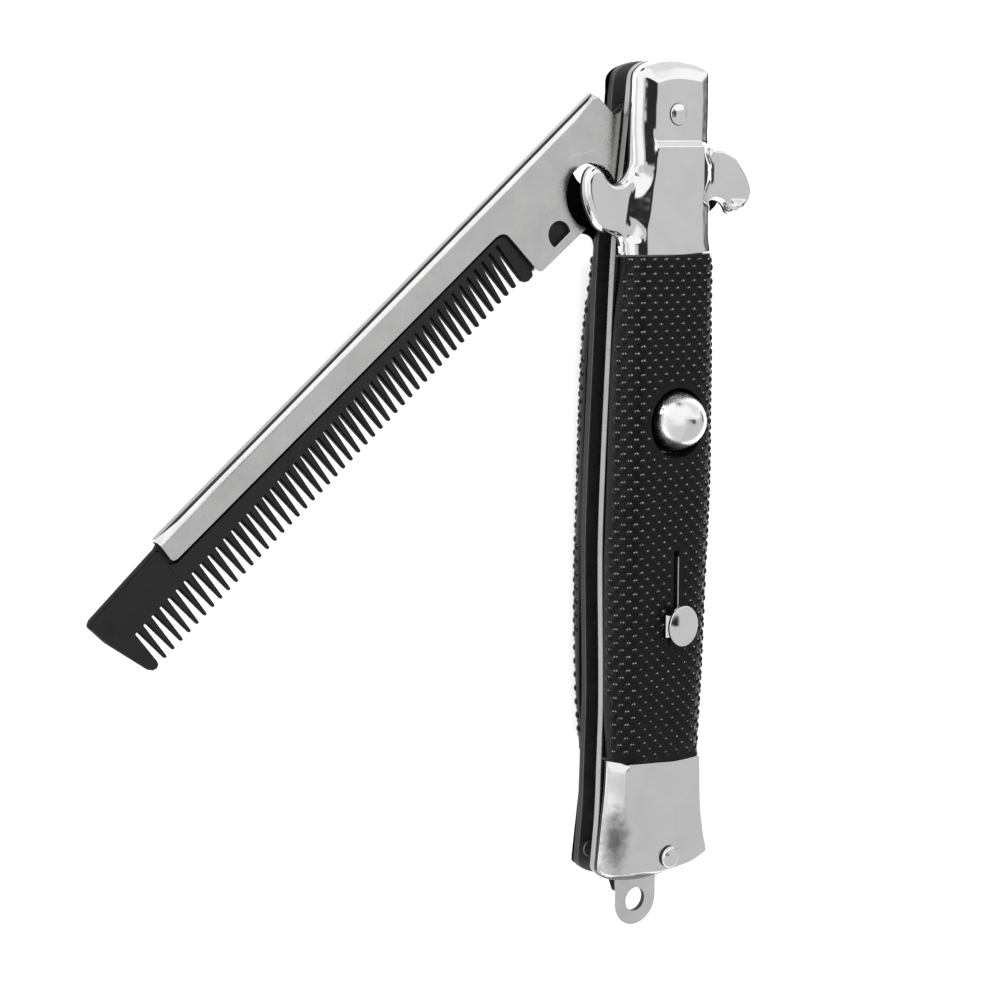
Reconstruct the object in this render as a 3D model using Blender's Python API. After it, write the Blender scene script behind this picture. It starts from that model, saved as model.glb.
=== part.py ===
# A folding pocket comb: a black plastic comb held in a folded steel channel that swings
# out of a slim two-sided handle with bright bolsters, guard wings and dotted black grips.
# The handle lies along Y with its front up (+Z); the comb stands part-way open to the left.

import math

import bmesh
import bpy
import numpy as np
from mathutils import Matrix

MM = 0.001

# Depth levels of the front half, from the middle plane; the rear half mirrors them.
BLADE_HALF = 1.2
BLADE_SHEET = 0.5
INNER_FACE = 1.5
LINER_OUTER = 2.6
SHELL_BASE = 2.9
BOLSTER_UPPER_TOP = 5.6
BOLSTER_LOWER_TOP = 6.1
GRIP_CROWN = 6.8
GRIP_END_DROP = 0.35
GRIP_FLAT_HALF = 24.0
GRIP_FALL_LENGTH = 14.0
GRIP_MIDDLE_Y = -2.5
POMMEL_TOP = 5.7
STEP_Y = 51.45
STEP_SLANT = 0.03
STEP_LENGTH = 1.0
SHELL_SHEET = 0.7
SHELL_WALL = 0.5

# Rivets.
PIVOT_X = 0.0
PIVOT_Y = 55.65
BUTT_Y = -55.65
RIVET_RADIUS = 1.65
RIVET_CLEARANCE = 0.15
BUTT_SHANK_RADIUS = 0.9
PIVOT_HEAD_RISE = 0.5
BUTT_HEAD_RISE = 1.0
REAR_HEAD_RISE = 0.4

# The comb's turn from the closed position, about the pivot.
CLOSED_TURN_DEG = 50.4

# Button, lock slide and their openings.
BUTTON_Y = 11.25
BUTTON_RADIUS = 4.3
BUTTON_BOTTOM = 4.0
BUTTON_TOP = 11.1
BUTTON_DOME = 5.0
BUTTON_FULLNESS = 1.8
FLANGE_RADIUS = 4.7
FLANGE_TOP = 4.8
RECESS_Y = 10.9
RECESS_RADIUS = 5.2
KNOB_Y = -19.3
KNOB_RADIUS = 3.05
KNOB_NARROW = 0.9
KNOB_UNDER = 7.9
KNOB_TOP = 8.8
NECK_HALF_X = 2.0
NECK_HALF_Y = 1.55
NECK_LOW = 7.1
TONGUE_HALF_X = 0.2
TONGUE_LOW = 3.2
SLOT_HALF_X = 0.5
SLOT_TOP_Y = -8.2
SLOT_END_Y = -21.8

# Width of the rounded rim of each shell, and how far the rear one's face lies lower: y, front, rear, lower.
RIM_WIDTHS = (
    (61.0, 3.0, 4.8, 0.7),
    (36.0, 3.0, 4.8, 0.7),
    (35.0, 3.0, 4.4, 0.7),
    (22.0, 4.1, 4.6, 0.0),
    (4.0, 4.6, 4.9, 0.0),
    (-16.0, 4.5, 5.0, 0.0),
    (-39.0, 4.2, 5.2, 1.0),
    (-41.0, 2.2, 5.2, 0.5),
    (-47.0, 2.6, 5.2, 0.5),
    (-57.0, 4.6, 5.2, 0.5),
)
# How full the curve of a rim is: 1 is a flat slope, 2 an ellipse, more a squarer shoulder.
BOLSTER_FULLNESS = 2.5
GRIP_FULLNESS = 2.0
POMMEL_FULLNESS = 1.2
REAR_FULLNESS = 2.0
# The front pommel's rim is narrower along its lower end and its right side.
POMMEL_END_RIM = 1.1
POMMEL_RIGHT_RIM = 0.9

# Blade, in its own frame: a runs from the pivot to the tip, b from the spine to the teeth.
PIVOT_RING_RADIUS = 4.75
PIVOT_HOLE_RADIUS = 1.95
NOTCH_A = 16.89
NOTCH_B = 1.21
NOTCH_RADIUS = 4.67
D_HOLE_A = 24.9
D_HOLE_B = 1.76
D_HOLE_RADIUS = 1.97
D_HOLE_FLAT_B = 2.62
SPINE_ROUND = 0.75
INSERT_HALF = 0.4
COMB_HALF = 0.9

# Comb teeth: the gap centres follow a cubic in the gap's number, counted from the pivot end.
TEETH = 47
GAP_START = 34.2
GAP_PITCH = 1.668
GAP_SHRINK = -0.0037
GAP_EASE = 0.000028
ROOT_START_B = -3.75
ROOT_RISE = 0.0235
TOOTH_TIP_B = 2.95
TOOTH_TIP_RISE = 0.0075
GAP_ROOT_WIDTH = 0.36
GAP_TIP_WIDTH = 0.98
TOOTH_TIP_ROUND = 0.25
TOOTH_TIP_FLAT = 0.15
# The comb's edges are bevelled to a ridge, and its teeth thin out towards their tips.
COMB_BEVEL = 0.2
TOOTH_TIP_THINNING = 0.5

# Split-ring eye at the butt.
EYE_X = -2.2
EYE_Y = -63.6
EYE_RADIUS = 4.0
EYE_HOLE_RADIUS = 1.85
EYE_HALF = 0.45
EYE_BLOCK_HALF = 1.2
EYE_BLOCK_TOP_Y = -57.2
EYE_BLOCK_FRONT_Y = -59.1
EYE_BLOCK_END_Y = -59.8
EYE_TAPER_Y = -61.4

# Outline of the bolsters, grips and pommels: y, left x, right x.
HANDLE_SIDES = (
    (64.0, -6.70, 7.40),
    (61.0, -6.70, 7.40),
    (57.0, -6.95, 7.45),
    (51.0, -7.10, 7.40),
    (47.5, -7.30, 7.40),
    (42.0, -8.00, 7.40),
    (38.0, -8.75, 7.50),
    (35.8, -8.55, 7.80),
    (34.8, -8.55, 8.00),
    (28.0, -9.35, 8.05),
    (20.0, -10.05, 8.30),
    (12.0, -10.40, 8.35),
    (4.0, -10.65, 8.45),
    (-4.0, -10.90, 8.25),
    (-10.0, -11.10, 7.95),
    (-19.0, -11.10, 7.60),
    (-30.0, -11.00, 7.20),
    (-39.5, -10.45, 6.80),
    (-43.0, -10.60, 6.90),
    (-48.0, -11.15, 7.10),
    (-53.0, -11.80, 7.75),
    (-56.5, -12.15, 8.50),
    (-60.0, -12.15, 8.50),
)
# End curves of the shells: x, y.
TOP_ARCH = (
    (-6.70, 61.10),
    (-6.00, 62.00),
    (-5.00, 62.65),
    (-3.50, 63.20),
    (-1.70, 63.62),
    (0.50, 63.82),
    (2.50, 63.72),
    (4.50, 63.45),
    (6.40, 62.90),
    (7.40, 62.00),
)
BOLSTER_END = ((-8.7, 35.55), (0.0, 35.57), (5.7, 35.95), (7.8, 36.1))
POMMEL_START = ((-10.6, -39.45), (-7.5, -40.0), (-2.5, -40.5), (1.5, -40.85), (7.2, -40.75))
POMMEL_END = (
    (-12.15, -56.30),
    (-11.10, -57.15),
    (-9.20, -57.80),
    (-4.40, -58.40),
    (-1.20, -58.80),
    (3.50, -58.55),
    (7.20, -57.45),
    (8.50, -56.40),
)
END_GAP = 0.3

# Outline of the liners, clockwise from the top left: x, y.
LINER_OUTLINE = (
    (-6.23, 61.3),
    (-5.85, 61.9),
    (-4.64, 62.85),
    (-2.0, 63.5),
    (0.5, 63.7),
    (3.0, 63.55),
    (5.5, 63.1),
    (7.1, 61.9),
    (7.2, 57.0),
    (7.2, 40.0),
    (7.8, 34.8),
    (8.1, 20.0),
    (8.25, 4.0),
    (7.85, -8.0),
    (7.0, -30.0),
    (6.6, -40.0),
    (6.9, -48.0),
    (7.5, -53.0),
    (8.2, -56.4),
    (7.2, -58.0),
    (3.5, -59.1),
    (0.0, -59.5),
    (-4.0, -59.4),
    (-7.66, -58.8),
    (-9.03, -58.4),
    (-10.58, -57.7),
    (-11.55, -56.95),
    (-12.0, -56.2),
    (-11.9, -54.5),
    (-11.26, -47.8),
    (-10.95, -40.1),
    (-10.67, -30.0),
    (-10.99, -8.0),
    (-10.64, 4.2),
    (-9.88, 20.0),
    (-8.96, 37.7),
    (-7.95, 46.5),
    (-7.45, 50.5),
    (-6.94, 54.8),
    (-6.5, 59.7),
)

# Guard wings of a bolster: x, y, joined to its side.
LEFT_WING = (
    (-6.95, 47.7),
    (-8.0, 46.55),
    (-9.3, 45.75),
    (-10.7, 45.6),
    (-11.8, 46.25),
    (-12.6, 47.3),
    (-13.4, 47.95),
    (-14.3, 48.05),
    (-15.1, 47.4),
    (-15.65, 46.2),
    (-15.75, 44.7),
    (-15.5, 43.2),
    (-14.7, 41.35),
    (-13.4, 39.6),
    (-11.8, 38.75),
    (-9.8, 38.4),
    (-8.4, 37.9),
)
RIGHT_WING = (
    (7.1, 51.1),
    (9.7, 51.15),
    (11.2, 50.7),
    (12.5, 50.0),
    (14.5, 47.8),
    (15.4, 46.3),
    (15.75, 45.0),
    (15.3, 43.2),
    (13.9, 42.0),
    (12.4, 41.4),
    (11.5, 41.7),
    (10.8, 42.7),
    (9.8, 43.4),
    (8.3, 43.6),
    (7.1, 43.6),
)
WING_TOP = 4.7
WING_ROUND = 0.75

# Back spacer between the liners: y, left x, right x.
SPACER_SIDES = ((40.0, 4.9, 6.9), (20.0, 5.0, 7.6), (-8.0, 4.9, 7.4), (-30.0, 4.4, 6.5), (-48.0, 4.3, 6.2))

RIVET_STEPS = 24


def column(rows, key, value):
    """A function that reads a table column against another, in rising order of the key."""
    pairs = sorted((row[key], row[value]) for row in rows)
    keys = [pair[0] for pair in pairs]
    values = [pair[1] for pair in pairs]
    return lambda at: float(np.interp(at, keys, values))


left_at = column(HANDLE_SIDES, 0, 1)
right_at = column(HANDLE_SIDES, 0, 2)


def new_collection(name):
    made = bpy.data.collections.new(name)
    bpy.context.scene.collection.children.link(made)
    return made


def material(name, colour, roughness, metallic):
    made = bpy.data.materials.new(name)
    made.use_nodes = True
    shader = made.node_tree.nodes["Principled BSDF"]
    shader.inputs["Base Color"].default_value = (*colour, 1.0)
    shader.inputs["Roughness"].default_value = roughness
    shader.inputs["Metallic"].default_value = metallic
    return made


def add_object(name, mesh, group, look):
    made = bpy.data.objects.new(name, mesh)
    group.objects.link(made)
    if look is not None:
        mesh.materials.clear()
        mesh.materials.append(look)
    return made


def mesh_from(name, points, faces):
    """A mesh from points in millimetres, with its faces turned outward."""
    mesh = bpy.data.meshes.new(name)
    mesh.from_pydata([tuple(value * MM for value in point) for point in points], [], faces)
    body = bmesh.new()
    body.from_mesh(mesh)
    bmesh.ops.recalc_face_normals(body, faces=body.faces)
    body.to_mesh(mesh)
    body.free()
    return mesh


def arc(centre, radius, start_deg, end_deg, steps):
    angles = np.radians(np.linspace(start_deg, end_deg, steps + 1))
    return [(centre[0] + radius * math.cos(t), centre[1] + radius * math.sin(t)) for t in angles]


def circle(centre, radius, steps):
    return arc(centre, radius, 0.0, 360.0, steps)[:-1]


def plate(name, outlines, low, high):
    """A flat plate between two heights, from its outline and the outlines of its holes."""
    curve = bpy.data.curves.new(name, "CURVE")
    curve.dimensions = "2D"
    curve.fill_mode = "BOTH"
    curve.extrude = (high - low) / 2 * MM
    for outline in outlines:
        spline = curve.splines.new("POLY")
        spline.points.add(len(outline) - 1)
        spline.use_cyclic_u = True
        for point, (x, y) in zip(spline.points, outline):
            point.co = (x * MM, y * MM, 0.0, 1.0)
    holder = bpy.data.objects.new(name, curve)
    bpy.context.scene.collection.objects.link(holder)
    graph = bpy.context.evaluated_depsgraph_get()
    mesh = bpy.data.meshes.new_from_object(holder.evaluated_get(graph))
    bpy.data.objects.remove(holder)
    bpy.data.curves.remove(curve)
    body = bmesh.new()
    body.from_mesh(mesh)
    bmesh.ops.remove_doubles(body, verts=body.verts, dist=0.00001)
    bmesh.ops.translate(body, verts=body.verts, vec=(0.0, 0.0, (high + low) / 2 * MM))
    bmesh.ops.recalc_face_normals(body, faces=body.faces)
    body.to_mesh(mesh)
    body.free()
    mesh.name = name
    return mesh


def chamfered_plate(name, outline, bevel, half):
    """A flat plate about the middle plane whose edges slope out to a ridge at its middle."""
    curve = bpy.data.curves.new(name, "CURVE")
    curve.dimensions = "2D"
    curve.fill_mode = "BOTH"
    curve.bevel_depth = bevel * MM
    curve.bevel_resolution = 0
    curve.offset = -bevel * MM
    spline = curve.splines.new("POLY")
    spline.points.add(len(outline) - 1)
    spline.use_cyclic_u = True
    for point, (x, y) in zip(spline.points, outline):
        point.co = (x * MM, y * MM, 0.0, 1.0)
    holder = bpy.data.objects.new(name, curve)
    bpy.context.scene.collection.objects.link(holder)
    graph = bpy.context.evaluated_depsgraph_get()
    mesh = bpy.data.meshes.new_from_object(holder.evaluated_get(graph))
    bpy.data.objects.remove(holder)
    bpy.data.curves.remove(curve)
    body = bmesh.new()
    body.from_mesh(mesh)
    bmesh.ops.remove_doubles(body, verts=body.verts, dist=0.000002)
    bmesh.ops.recalc_face_normals(body, faces=body.faces)
    for vertex in body.verts:
        vertex.co.z *= half / bevel
    body.to_mesh(mesh)
    body.free()
    mesh.name = name
    return mesh


def turned(name, profile, centre, steps):
    """A closed solid turned about an upright axis from (radius, z) points, bottom to top."""
    points = []
    faces = []
    rings = []
    for radius, height in profile:
        if radius == 0.0:
            rings.append([len(points)])
            points.append((centre[0], centre[1], height))
            continue
        ring = []
        for x, y in circle(centre, radius, steps):
            ring.append(len(points))
            points.append((x, y, height))
        rings.append(ring)
    for lower, upper in zip(rings, rings[1:]):
        for i in range(steps):
            j = (i + 1) % steps
            if len(lower) == 1:
                faces.append((lower[0], upper[i], upper[j]))
            elif len(upper) == 1:
                faces.append((lower[i], lower[j], upper[0]))
            else:
                faces.append((lower[i], lower[j], upper[j], upper[i]))
    if len(rings[0]) > 1:
        faces.append(tuple(rings[0]))
    if len(rings[-1]) > 1:
        faces.append(tuple(rings[-1]))
    return mesh_from(name, points, faces)


def cut(target, tool, operation):
    """Applies a Boolean of one object with another and removes the tool."""
    modifier = target.modifiers.new(operation.lower(), "BOOLEAN")
    modifier.operation = operation
    modifier.solver = "EXACT"
    modifier.object = tool
    graph = bpy.context.evaluated_depsgraph_get()
    made = bpy.data.meshes.new_from_object(target.evaluated_get(graph))
    target.modifiers.clear()
    look = target.data.materials[0] if target.data.materials else None
    target.data = made
    made.materials.clear()
    if look is not None:
        made.materials.append(look)
    bpy.data.objects.remove(tool)
    body = bmesh.new()
    body.from_mesh(made)
    bmesh.ops.remove_doubles(body, verts=body.verts, dist=0.000002)
    bmesh.ops.dissolve_degenerate(body, edges=body.edges, dist=0.000002)
    body.to_mesh(made)
    body.free()


def tool_object(name, mesh):
    made = add_object(name, mesh, cutters, None)
    made.hide_render = True
    made.display_type = "WIRE"
    return made


def bore(target, centre, radius, low, high):
    hole = plate("bore", [circle(centre, radius, RIVET_STEPS)], low, high)
    cut(target, tool_object("bore_tool", hole), "DIFFERENCE")


def round_fraction(distances, radius, fullness):
    """Height of a rounded rim as a share of full height, from the distances to its edges."""
    short = [max(0.0, 1.0 - distance / radius) for distance in distances]
    blend = sum(value**3 for value in short) ** (1.0 / 3.0)
    return max(0.0, 1.0 - min(1.0, blend) ** fullness) ** (1.0 / fullness)


def shell_grid(spec, inset, across, along):
    """Grid points of a shell skin over its four-sided outline, drawn in by the inset."""
    rows = []
    for v in along:
        row = []
        nominal = spec["low"](0.0) * (1.0 - v) + spec["high"](0.0) * v
        for u in across:
            x_left = left_at(nominal) + inset
            x_right = right_at(nominal) - inset
            x = x_left * (1.0 - u) + x_right * u
            y_low = spec["low"](x) + inset
            y_high = spec["high"](x) - inset
            y = y_low * (1.0 - v) + y_high * v
            rim = spec["round"](y) - inset * 0.5
            edges = [x - left_at(y) - inset, (right_at(y) - inset - x) * rim / (spec["right_rim"] or rim)]
            if spec["round_high"]:
                edges.append(y_high - y)
            if spec["round_low"]:
                edges.append((y - y_low) * rim / (spec["end_rim"] or rim))
            share = round_fraction(edges, rim, spec["fullness"])
            floor = SHELL_BASE + SHELL_WALL - inset * 0.3
            top = spec["top"](x, y) - spec["lower"](y) - inset
            row.append((x, y, floor + (top - floor) * share))
        rows.append(row)
    return rows


def border(columns, rows):
    """Grid places around the edge of a grid, in order."""
    places = [(0, j) for j in range(columns)]
    places += [(i, columns - 1) for i in range(1, rows)]
    places += [(rows - 1, j) for j in range(columns - 2, -1, -1)]
    places += [(i, 0) for i in range(rows - 2, 0, -1)]
    return places


def shell(name, spec, hollow, side):
    """A front (side 1) or rear (side -1) shell: domed skin, upright rim and a flat or open base."""
    if side > 0:
        spec = dict(spec, round=column(RIM_WIDTHS, 0, 1), lower=lambda y: 0.0)
    else:
        spec = dict(spec, round=column(RIM_WIDTHS, 0, 2), lower=column(RIM_WIDTHS, 0, 3))
        spec = dict(spec, fullness=REAR_FULLNESS, end_rim=None, right_rim=None)
    across = spec["across"]
    along = spec["along"]
    points = []
    faces = []

    def add_skin(inset):
        start = len(points)
        for row in shell_grid(spec, inset, across, along):
            points.extend(row)
        width = len(across)
        for i in range(len(along) - 1):
            for j in range(width - 1):
                a = start + i * width + j
                faces.append((a, a + 1, a + 1 + width, a + width))
        ring = []
        for i, j in border(width, len(along)):
            edge = start + i * width + j
            ring.append((edge, len(points)))
            x, y, _ = points[edge]
            points.append((x, y, SHELL_BASE))
        for (top_a, low_a), (top_b, low_b) in zip(ring, ring[1:] + ring[:1]):
            faces.append((top_a, top_b, low_b, low_a))
        return [low for _, low in ring]

    outer = add_skin(0.0)
    if hollow:
        inner = add_skin(SHELL_SHEET)
        count = len(outer)
        for i in range(count):
            j = (i + 1) % count
            faces.append((outer[i], outer[j], inner[j], inner[i]))
    else:
        faces.append(tuple(outer))
    return mesh_from(name, [(x, y, z * side) for x, y, z in points], faces)


def bolster_top(x, y):
    """Face height of a bolster: a low upper part and a proud lower part, met by a short slope."""
    upper_edge = STEP_Y + STEP_SLANT * x + STEP_LENGTH / 2
    share = min(1.0, max(0.0, (upper_edge - y) / STEP_LENGTH))
    return BOLSTER_UPPER_TOP + (BOLSTER_LOWER_TOP - BOLSTER_UPPER_TOP) * share


def grip_top(x, y):
    """Crown height of a grip, flat along the middle and falling gently toward both ends."""
    reach = max(0.0, abs(y - GRIP_MIDDLE_Y) - GRIP_FLAT_HALF) / GRIP_FALL_LENGTH
    return GRIP_CROWN - GRIP_END_DROP * min(1.0, reach)


def pommel_top(x, y):
    return POMMEL_TOP


def wing(name, outline, side):
    """A guard wing: a flat hook with its upper rim rounded over."""
    low, high = sorted((SHELL_BASE * side, WING_TOP * side))
    mesh = plate(name, [outline], low, high)
    body = bmesh.new()
    body.from_mesh(mesh)
    face_height = WING_TOP * side * MM
    rim = []
    for edge in body.edges:
        on_face = all(abs(v.co.z - face_height) < 0.00001 for v in edge.verts)
        if on_face and len(edge.link_faces) == 2 and edge.calc_face_angle() > 1.0:
            rim.append(edge)
    bmesh.ops.bevel(
        body, geom=rim, offset=WING_ROUND * MM, segments=2, profile=0.5, affect="EDGES", clamp_overlap=True
    )
    bmesh.ops.recalc_face_normals(body, faces=body.faces)
    body.to_mesh(mesh)
    body.free()
    return mesh


for leftover in list(bpy.data.objects):
    bpy.data.objects.remove(leftover)

parts = new_collection("folding_comb")
cutters = new_collection("cutters")
cutters.hide_render = True

chrome = material("chrome", (0.80, 0.80, 0.80), 0.08, 1.0)
steel = material("brushed_steel", (0.62, 0.62, 0.61), 0.30, 1.0)
dark_steel = material("dark_steel", (0.16, 0.16, 0.16), 0.45, 0.8)
grip_plastic = material("grip_plastic", (0.012, 0.012, 0.012), 0.28, 0.0)
comb_plastic = material("comb_plastic", (0.02, 0.02, 0.02), 0.42, 0.0)

RIM_COLUMNS = (0.0, 0.012, 0.035, 0.075, 0.13, 0.19, 0.26, 0.5, 0.74, 0.81, 0.87, 0.925, 0.965, 0.988, 1.0)
BOLSTER_ROWS = (0.0, 0.12, 0.30, 0.44, 0.534, 0.572, 0.70, 0.82, 0.90, 0.945, 0.975, 0.992, 1.0)
GRIP_ROWS = (0.0, 0.08, 0.16, 0.28, 0.42, 0.58, 0.72, 0.84, 0.92, 1.0)
POMMEL_ROWS = (0.0, 0.012, 0.04, 0.08, 0.14, 0.24, 0.4, 0.6, 0.8, 1.0)

bolster_spec = {
    "low": column(BOLSTER_END, 0, 1),
    "high": column(TOP_ARCH, 0, 1),
    "round_low": False,
    "round_high": True,
    "top": bolster_top,
    "fullness": BOLSTER_FULLNESS,
    "end_rim": None,
    "right_rim": None,
    "across": RIM_COLUMNS,
    "along": BOLSTER_ROWS,
}
bolster_end_at = column(BOLSTER_END, 0, 1)
pommel_start_at = column(POMMEL_START, 0, 1)
grip_spec = {
    "low": lambda x: pommel_start_at(x) + END_GAP,
    "high": lambda x: bolster_end_at(x) - END_GAP,
    "round_low": False,
    "round_high": False,
    "top": grip_top,
    "fullness": GRIP_FULLNESS,
    "end_rim": None,
    "right_rim": None,
    "across": RIM_COLUMNS,
    "along": GRIP_ROWS,
}
pommel_spec = {
    "low": column(POMMEL_END, 0, 1),
    "high": pommel_start_at,
    "round_low": True,
    "round_high": False,
    "top": pommel_top,
    "fullness": POMMEL_FULLNESS,
    "end_rim": POMMEL_END_RIM,
    "right_rim": POMMEL_RIGHT_RIM,
    "across": RIM_COLUMNS,
    "along": POMMEL_ROWS,
}

PIVOT = (PIVOT_X, PIVOT_Y)
BUTT = (PIVOT_X, BUTT_Y)
RECESS = (PIVOT_X, RECESS_Y)
THROUGH = 20.0


def make_half(word, side):
    """One side of the handle: bolster with its wings, grip, pommel and liner."""
    reach = sorted((SHELL_BASE * side - side, THROUGH * side))
    bolster = add_object(word + "_bolster", shell(word + "_bolster", bolster_spec, True, side), parts, chrome)
    for label, outline in (("left", LEFT_WING), ("right", RIGHT_WING)):
        cut(bolster, tool_object(label + "_wing", wing(label + "_wing", outline, side)), "UNION")
    bore(bolster, PIVOT, RIVET_RADIUS + RIVET_CLEARANCE, *reach)
    grip = add_object(word + "_grip", shell(word + "_grip", grip_spec, False, side), parts, grip_plastic)
    if side > 0:
        bore(grip, RECESS, RECESS_RADIUS, *reach)
        slot = [
            (-SLOT_HALF_X, SLOT_END_Y),
            (SLOT_HALF_X, SLOT_END_Y),
            (SLOT_HALF_X, SLOT_TOP_Y),
            (-SLOT_HALF_X, SLOT_TOP_Y),
        ]
        cut(grip, tool_object("slot_tool", plate("slot", [slot], *reach)), "DIFFERENCE")
    pommel = add_object(word + "_pommel", shell(word + "_pommel", pommel_spec, True, side), parts, chrome)
    bore(pommel, BUTT, RIVET_RADIUS + RIVET_CLEARANCE, *reach)
    holes = [
        circle(PIVOT, RIVET_RADIUS + END_GAP, RIVET_STEPS),
        circle(BUTT, BUTT_SHANK_RADIUS + END_GAP, RIVET_STEPS),
    ]
    low, high = sorted((INNER_FACE * side, LINER_OUTER * side))
    liner_mesh = plate(word + "_liner", [list(LINER_OUTLINE)] + holes, low, high)
    liner = add_object(word + "_liner", liner_mesh, parts, steel if side > 0 else dark_steel)
    return bolster, grip, pommel, liner


make_half("front", 1)
rear_liner = make_half("rear", -1)[3]

# Low stud on the rear liner's inner face, near the butt.
STUD_CENTRE = (-9.75, -54.45)
STUD_RADIUS = 1.3
STUD_TOP = -1.25
stud = plate("stud", [circle(STUD_CENTRE, STUD_RADIUS, RIVET_STEPS)], -2.0, STUD_TOP)
cut(rear_liner, tool_object("stud_tool", stud), "UNION")

# Rivets: straight shanks with low rounded heads standing on the bolsters and pommels.
HEAD_ROUND = 0.3
rear_lower_at = column(RIM_WIDTHS, 0, 3)
pivot_low = -(BOLSTER_UPPER_TOP - rear_lower_at(PIVOT_Y) + REAR_HEAD_RISE)
pivot_high = BOLSTER_UPPER_TOP + PIVOT_HEAD_RISE
pivot_profile = (
    (RIVET_RADIUS - HEAD_ROUND, pivot_low),
    (RIVET_RADIUS, pivot_low + HEAD_ROUND),
    (RIVET_RADIUS, pivot_high - HEAD_ROUND),
    (RIVET_RADIUS - HEAD_ROUND, pivot_high),
)
add_object("pivot_rivet", turned("pivot_rivet", pivot_profile, PIVOT, RIVET_STEPS), parts, chrome)
butt_low = -(POMMEL_TOP - rear_lower_at(BUTT_Y) + REAR_HEAD_RISE)
butt_high = POMMEL_TOP + BUTT_HEAD_RISE
BUTT_SHOULDER = 3.6
butt_profile = (
    (RIVET_RADIUS - HEAD_ROUND, butt_low),
    (RIVET_RADIUS, butt_low + HEAD_ROUND),
    (RIVET_RADIUS, -BUTT_SHOULDER),
    (BUTT_SHANK_RADIUS, -BUTT_SHOULDER),
    (BUTT_SHANK_RADIUS, BUTT_SHOULDER),
    (RIVET_RADIUS, BUTT_SHOULDER),
    (RIVET_RADIUS, butt_high - HEAD_ROUND),
    (RIVET_RADIUS - HEAD_ROUND, butt_high),
)
add_object("butt_rivet", turned("butt_rivet", butt_profile, BUTT, RIVET_STEPS), parts, chrome)

# Release button: a round plunger with a full dome, in the front grip's recess.
DOME_RINGS = 8


def dome_profile():
    """Points of the dome from its foot up to its middle."""
    points = []
    for ring in range(DOME_RINGS):
        angle = math.radians(90.0 * ring / DOME_RINGS)
        across = math.cos(angle) ** (2.0 / BUTTON_FULLNESS)
        up = math.sin(angle) ** (2.0 / BUTTON_FULLNESS)
        points.append((BUTTON_RADIUS * across, BUTTON_TOP - BUTTON_DOME * (1.0 - up)))
    return points + [(0.0, BUTTON_TOP)]


button_profile = [(FLANGE_RADIUS, BUTTON_BOTTOM), (FLANGE_RADIUS, FLANGE_TOP), (BUTTON_RADIUS, FLANGE_TOP)]
button_profile += dome_profile()
button = add_object("release_button", turned("release_button", button_profile, (0.0, 0.0), 36), parts, chrome)

# Lock slide: an oval knob on a square neck, with a tongue down through the slot.
KNOB_ROUND = 0.35
knob_profile = (
    (KNOB_RADIUS - KNOB_ROUND * 0.5, KNOB_UNDER),
    (KNOB_RADIUS, KNOB_UNDER + KNOB_ROUND * 0.5),
    (KNOB_RADIUS, KNOB_TOP - KNOB_ROUND),
    (KNOB_RADIUS - KNOB_ROUND, KNOB_TOP - KNOB_ROUND * 0.3),
    (0.0, KNOB_TOP),
)
knob_mesh = turned("lock_slide", knob_profile, (0.0, 0.0), 32)
knob_mesh.transform(Matrix.Diagonal((KNOB_NARROW, 1.0, 1.0, 1.0)))
lock_slide = add_object("lock_slide", knob_mesh, parts, chrome)


def block(name, half_x, y_low, y_high, low, high):
    return plate(name, [[(-half_x, y_low), (half_x, y_low), (half_x, y_high), (-half_x, y_high)]], low, high)


neck = block("neck", NECK_HALF_X, -NECK_HALF_Y, NECK_HALF_Y, NECK_LOW, KNOB_UNDER + 0.3)
cut(lock_slide, tool_object("neck_tool", neck), "UNION")
tongue = block("tongue", TONGUE_HALF_X, -NECK_HALF_Y, NECK_HALF_Y, TONGUE_LOW, NECK_LOW + 0.2)
cut(lock_slide, tool_object("tongue_tool", tongue), "UNION")

# Back spacer, closing the handle along its right side between the liners.
spacer_outline = [(row[1], row[0]) for row in SPACER_SIDES] + [(row[2], row[0]) for row in reversed(SPACER_SIDES)]
spacer = plate("back_spacer", [spacer_outline], -BLADE_HALF, BLADE_HALF)
add_object("back_spacer", spacer, parts, dark_steel)


def split_ring_eye():
    """A flat eye whose root thickens to fill the space between the liners."""
    top_half = 4.1
    ring = arc((EYE_X, EYE_Y), EYE_RADIUS, 180.0, 360.0, 16)
    outline = [
        (EYE_X + EYE_RADIUS, EYE_TAPER_Y),
        (EYE_X + top_half, EYE_BLOCK_END_Y),
        (EYE_X + top_half, EYE_BLOCK_TOP_Y - 0.3),
        (EYE_X - top_half, EYE_BLOCK_TOP_Y - 0.3),
        (EYE_X - top_half, EYE_BLOCK_END_Y),
        (EYE_X - EYE_RADIUS, EYE_TAPER_Y),
    ] + ring
    mesh = plate("eye", [outline, circle((EYE_X, EYE_Y), EYE_HOLE_RADIUS, 20)], -EYE_HALF, EYE_HALF)
    made = add_object("split_ring_eye", mesh, parts, steel)
    left = EYE_X - top_half
    right = EYE_X + top_half
    sections = (
        (EYE_BLOCK_TOP_Y, -EYE_BLOCK_HALF, EYE_BLOCK_HALF),
        (EYE_BLOCK_FRONT_Y, -EYE_BLOCK_HALF, EYE_BLOCK_HALF),
        (EYE_BLOCK_END_Y, -EYE_BLOCK_HALF, EYE_HALF * 0.6),
        (EYE_TAPER_Y, -EYE_HALF * 0.6, EYE_HALF * 0.6),
    )
    points = []
    for y, rear, front in sections:
        points += [(left, y, rear), (right, y, rear), (right, y, front), (left, y, front)]
    faces = [(0, 1, 2, 3), (12, 13, 14, 15)]
    for start in (0, 4, 8):
        for i in range(4):
            j = (i + 1) % 4
            faces.append((start + i, start + j, start + 4 + j, start + 4 + i))
    cut(made, tool_object("eye_root", mesh_from("eye_root", points, faces)), "UNION")
    return made


split_ring_eye()

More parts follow.
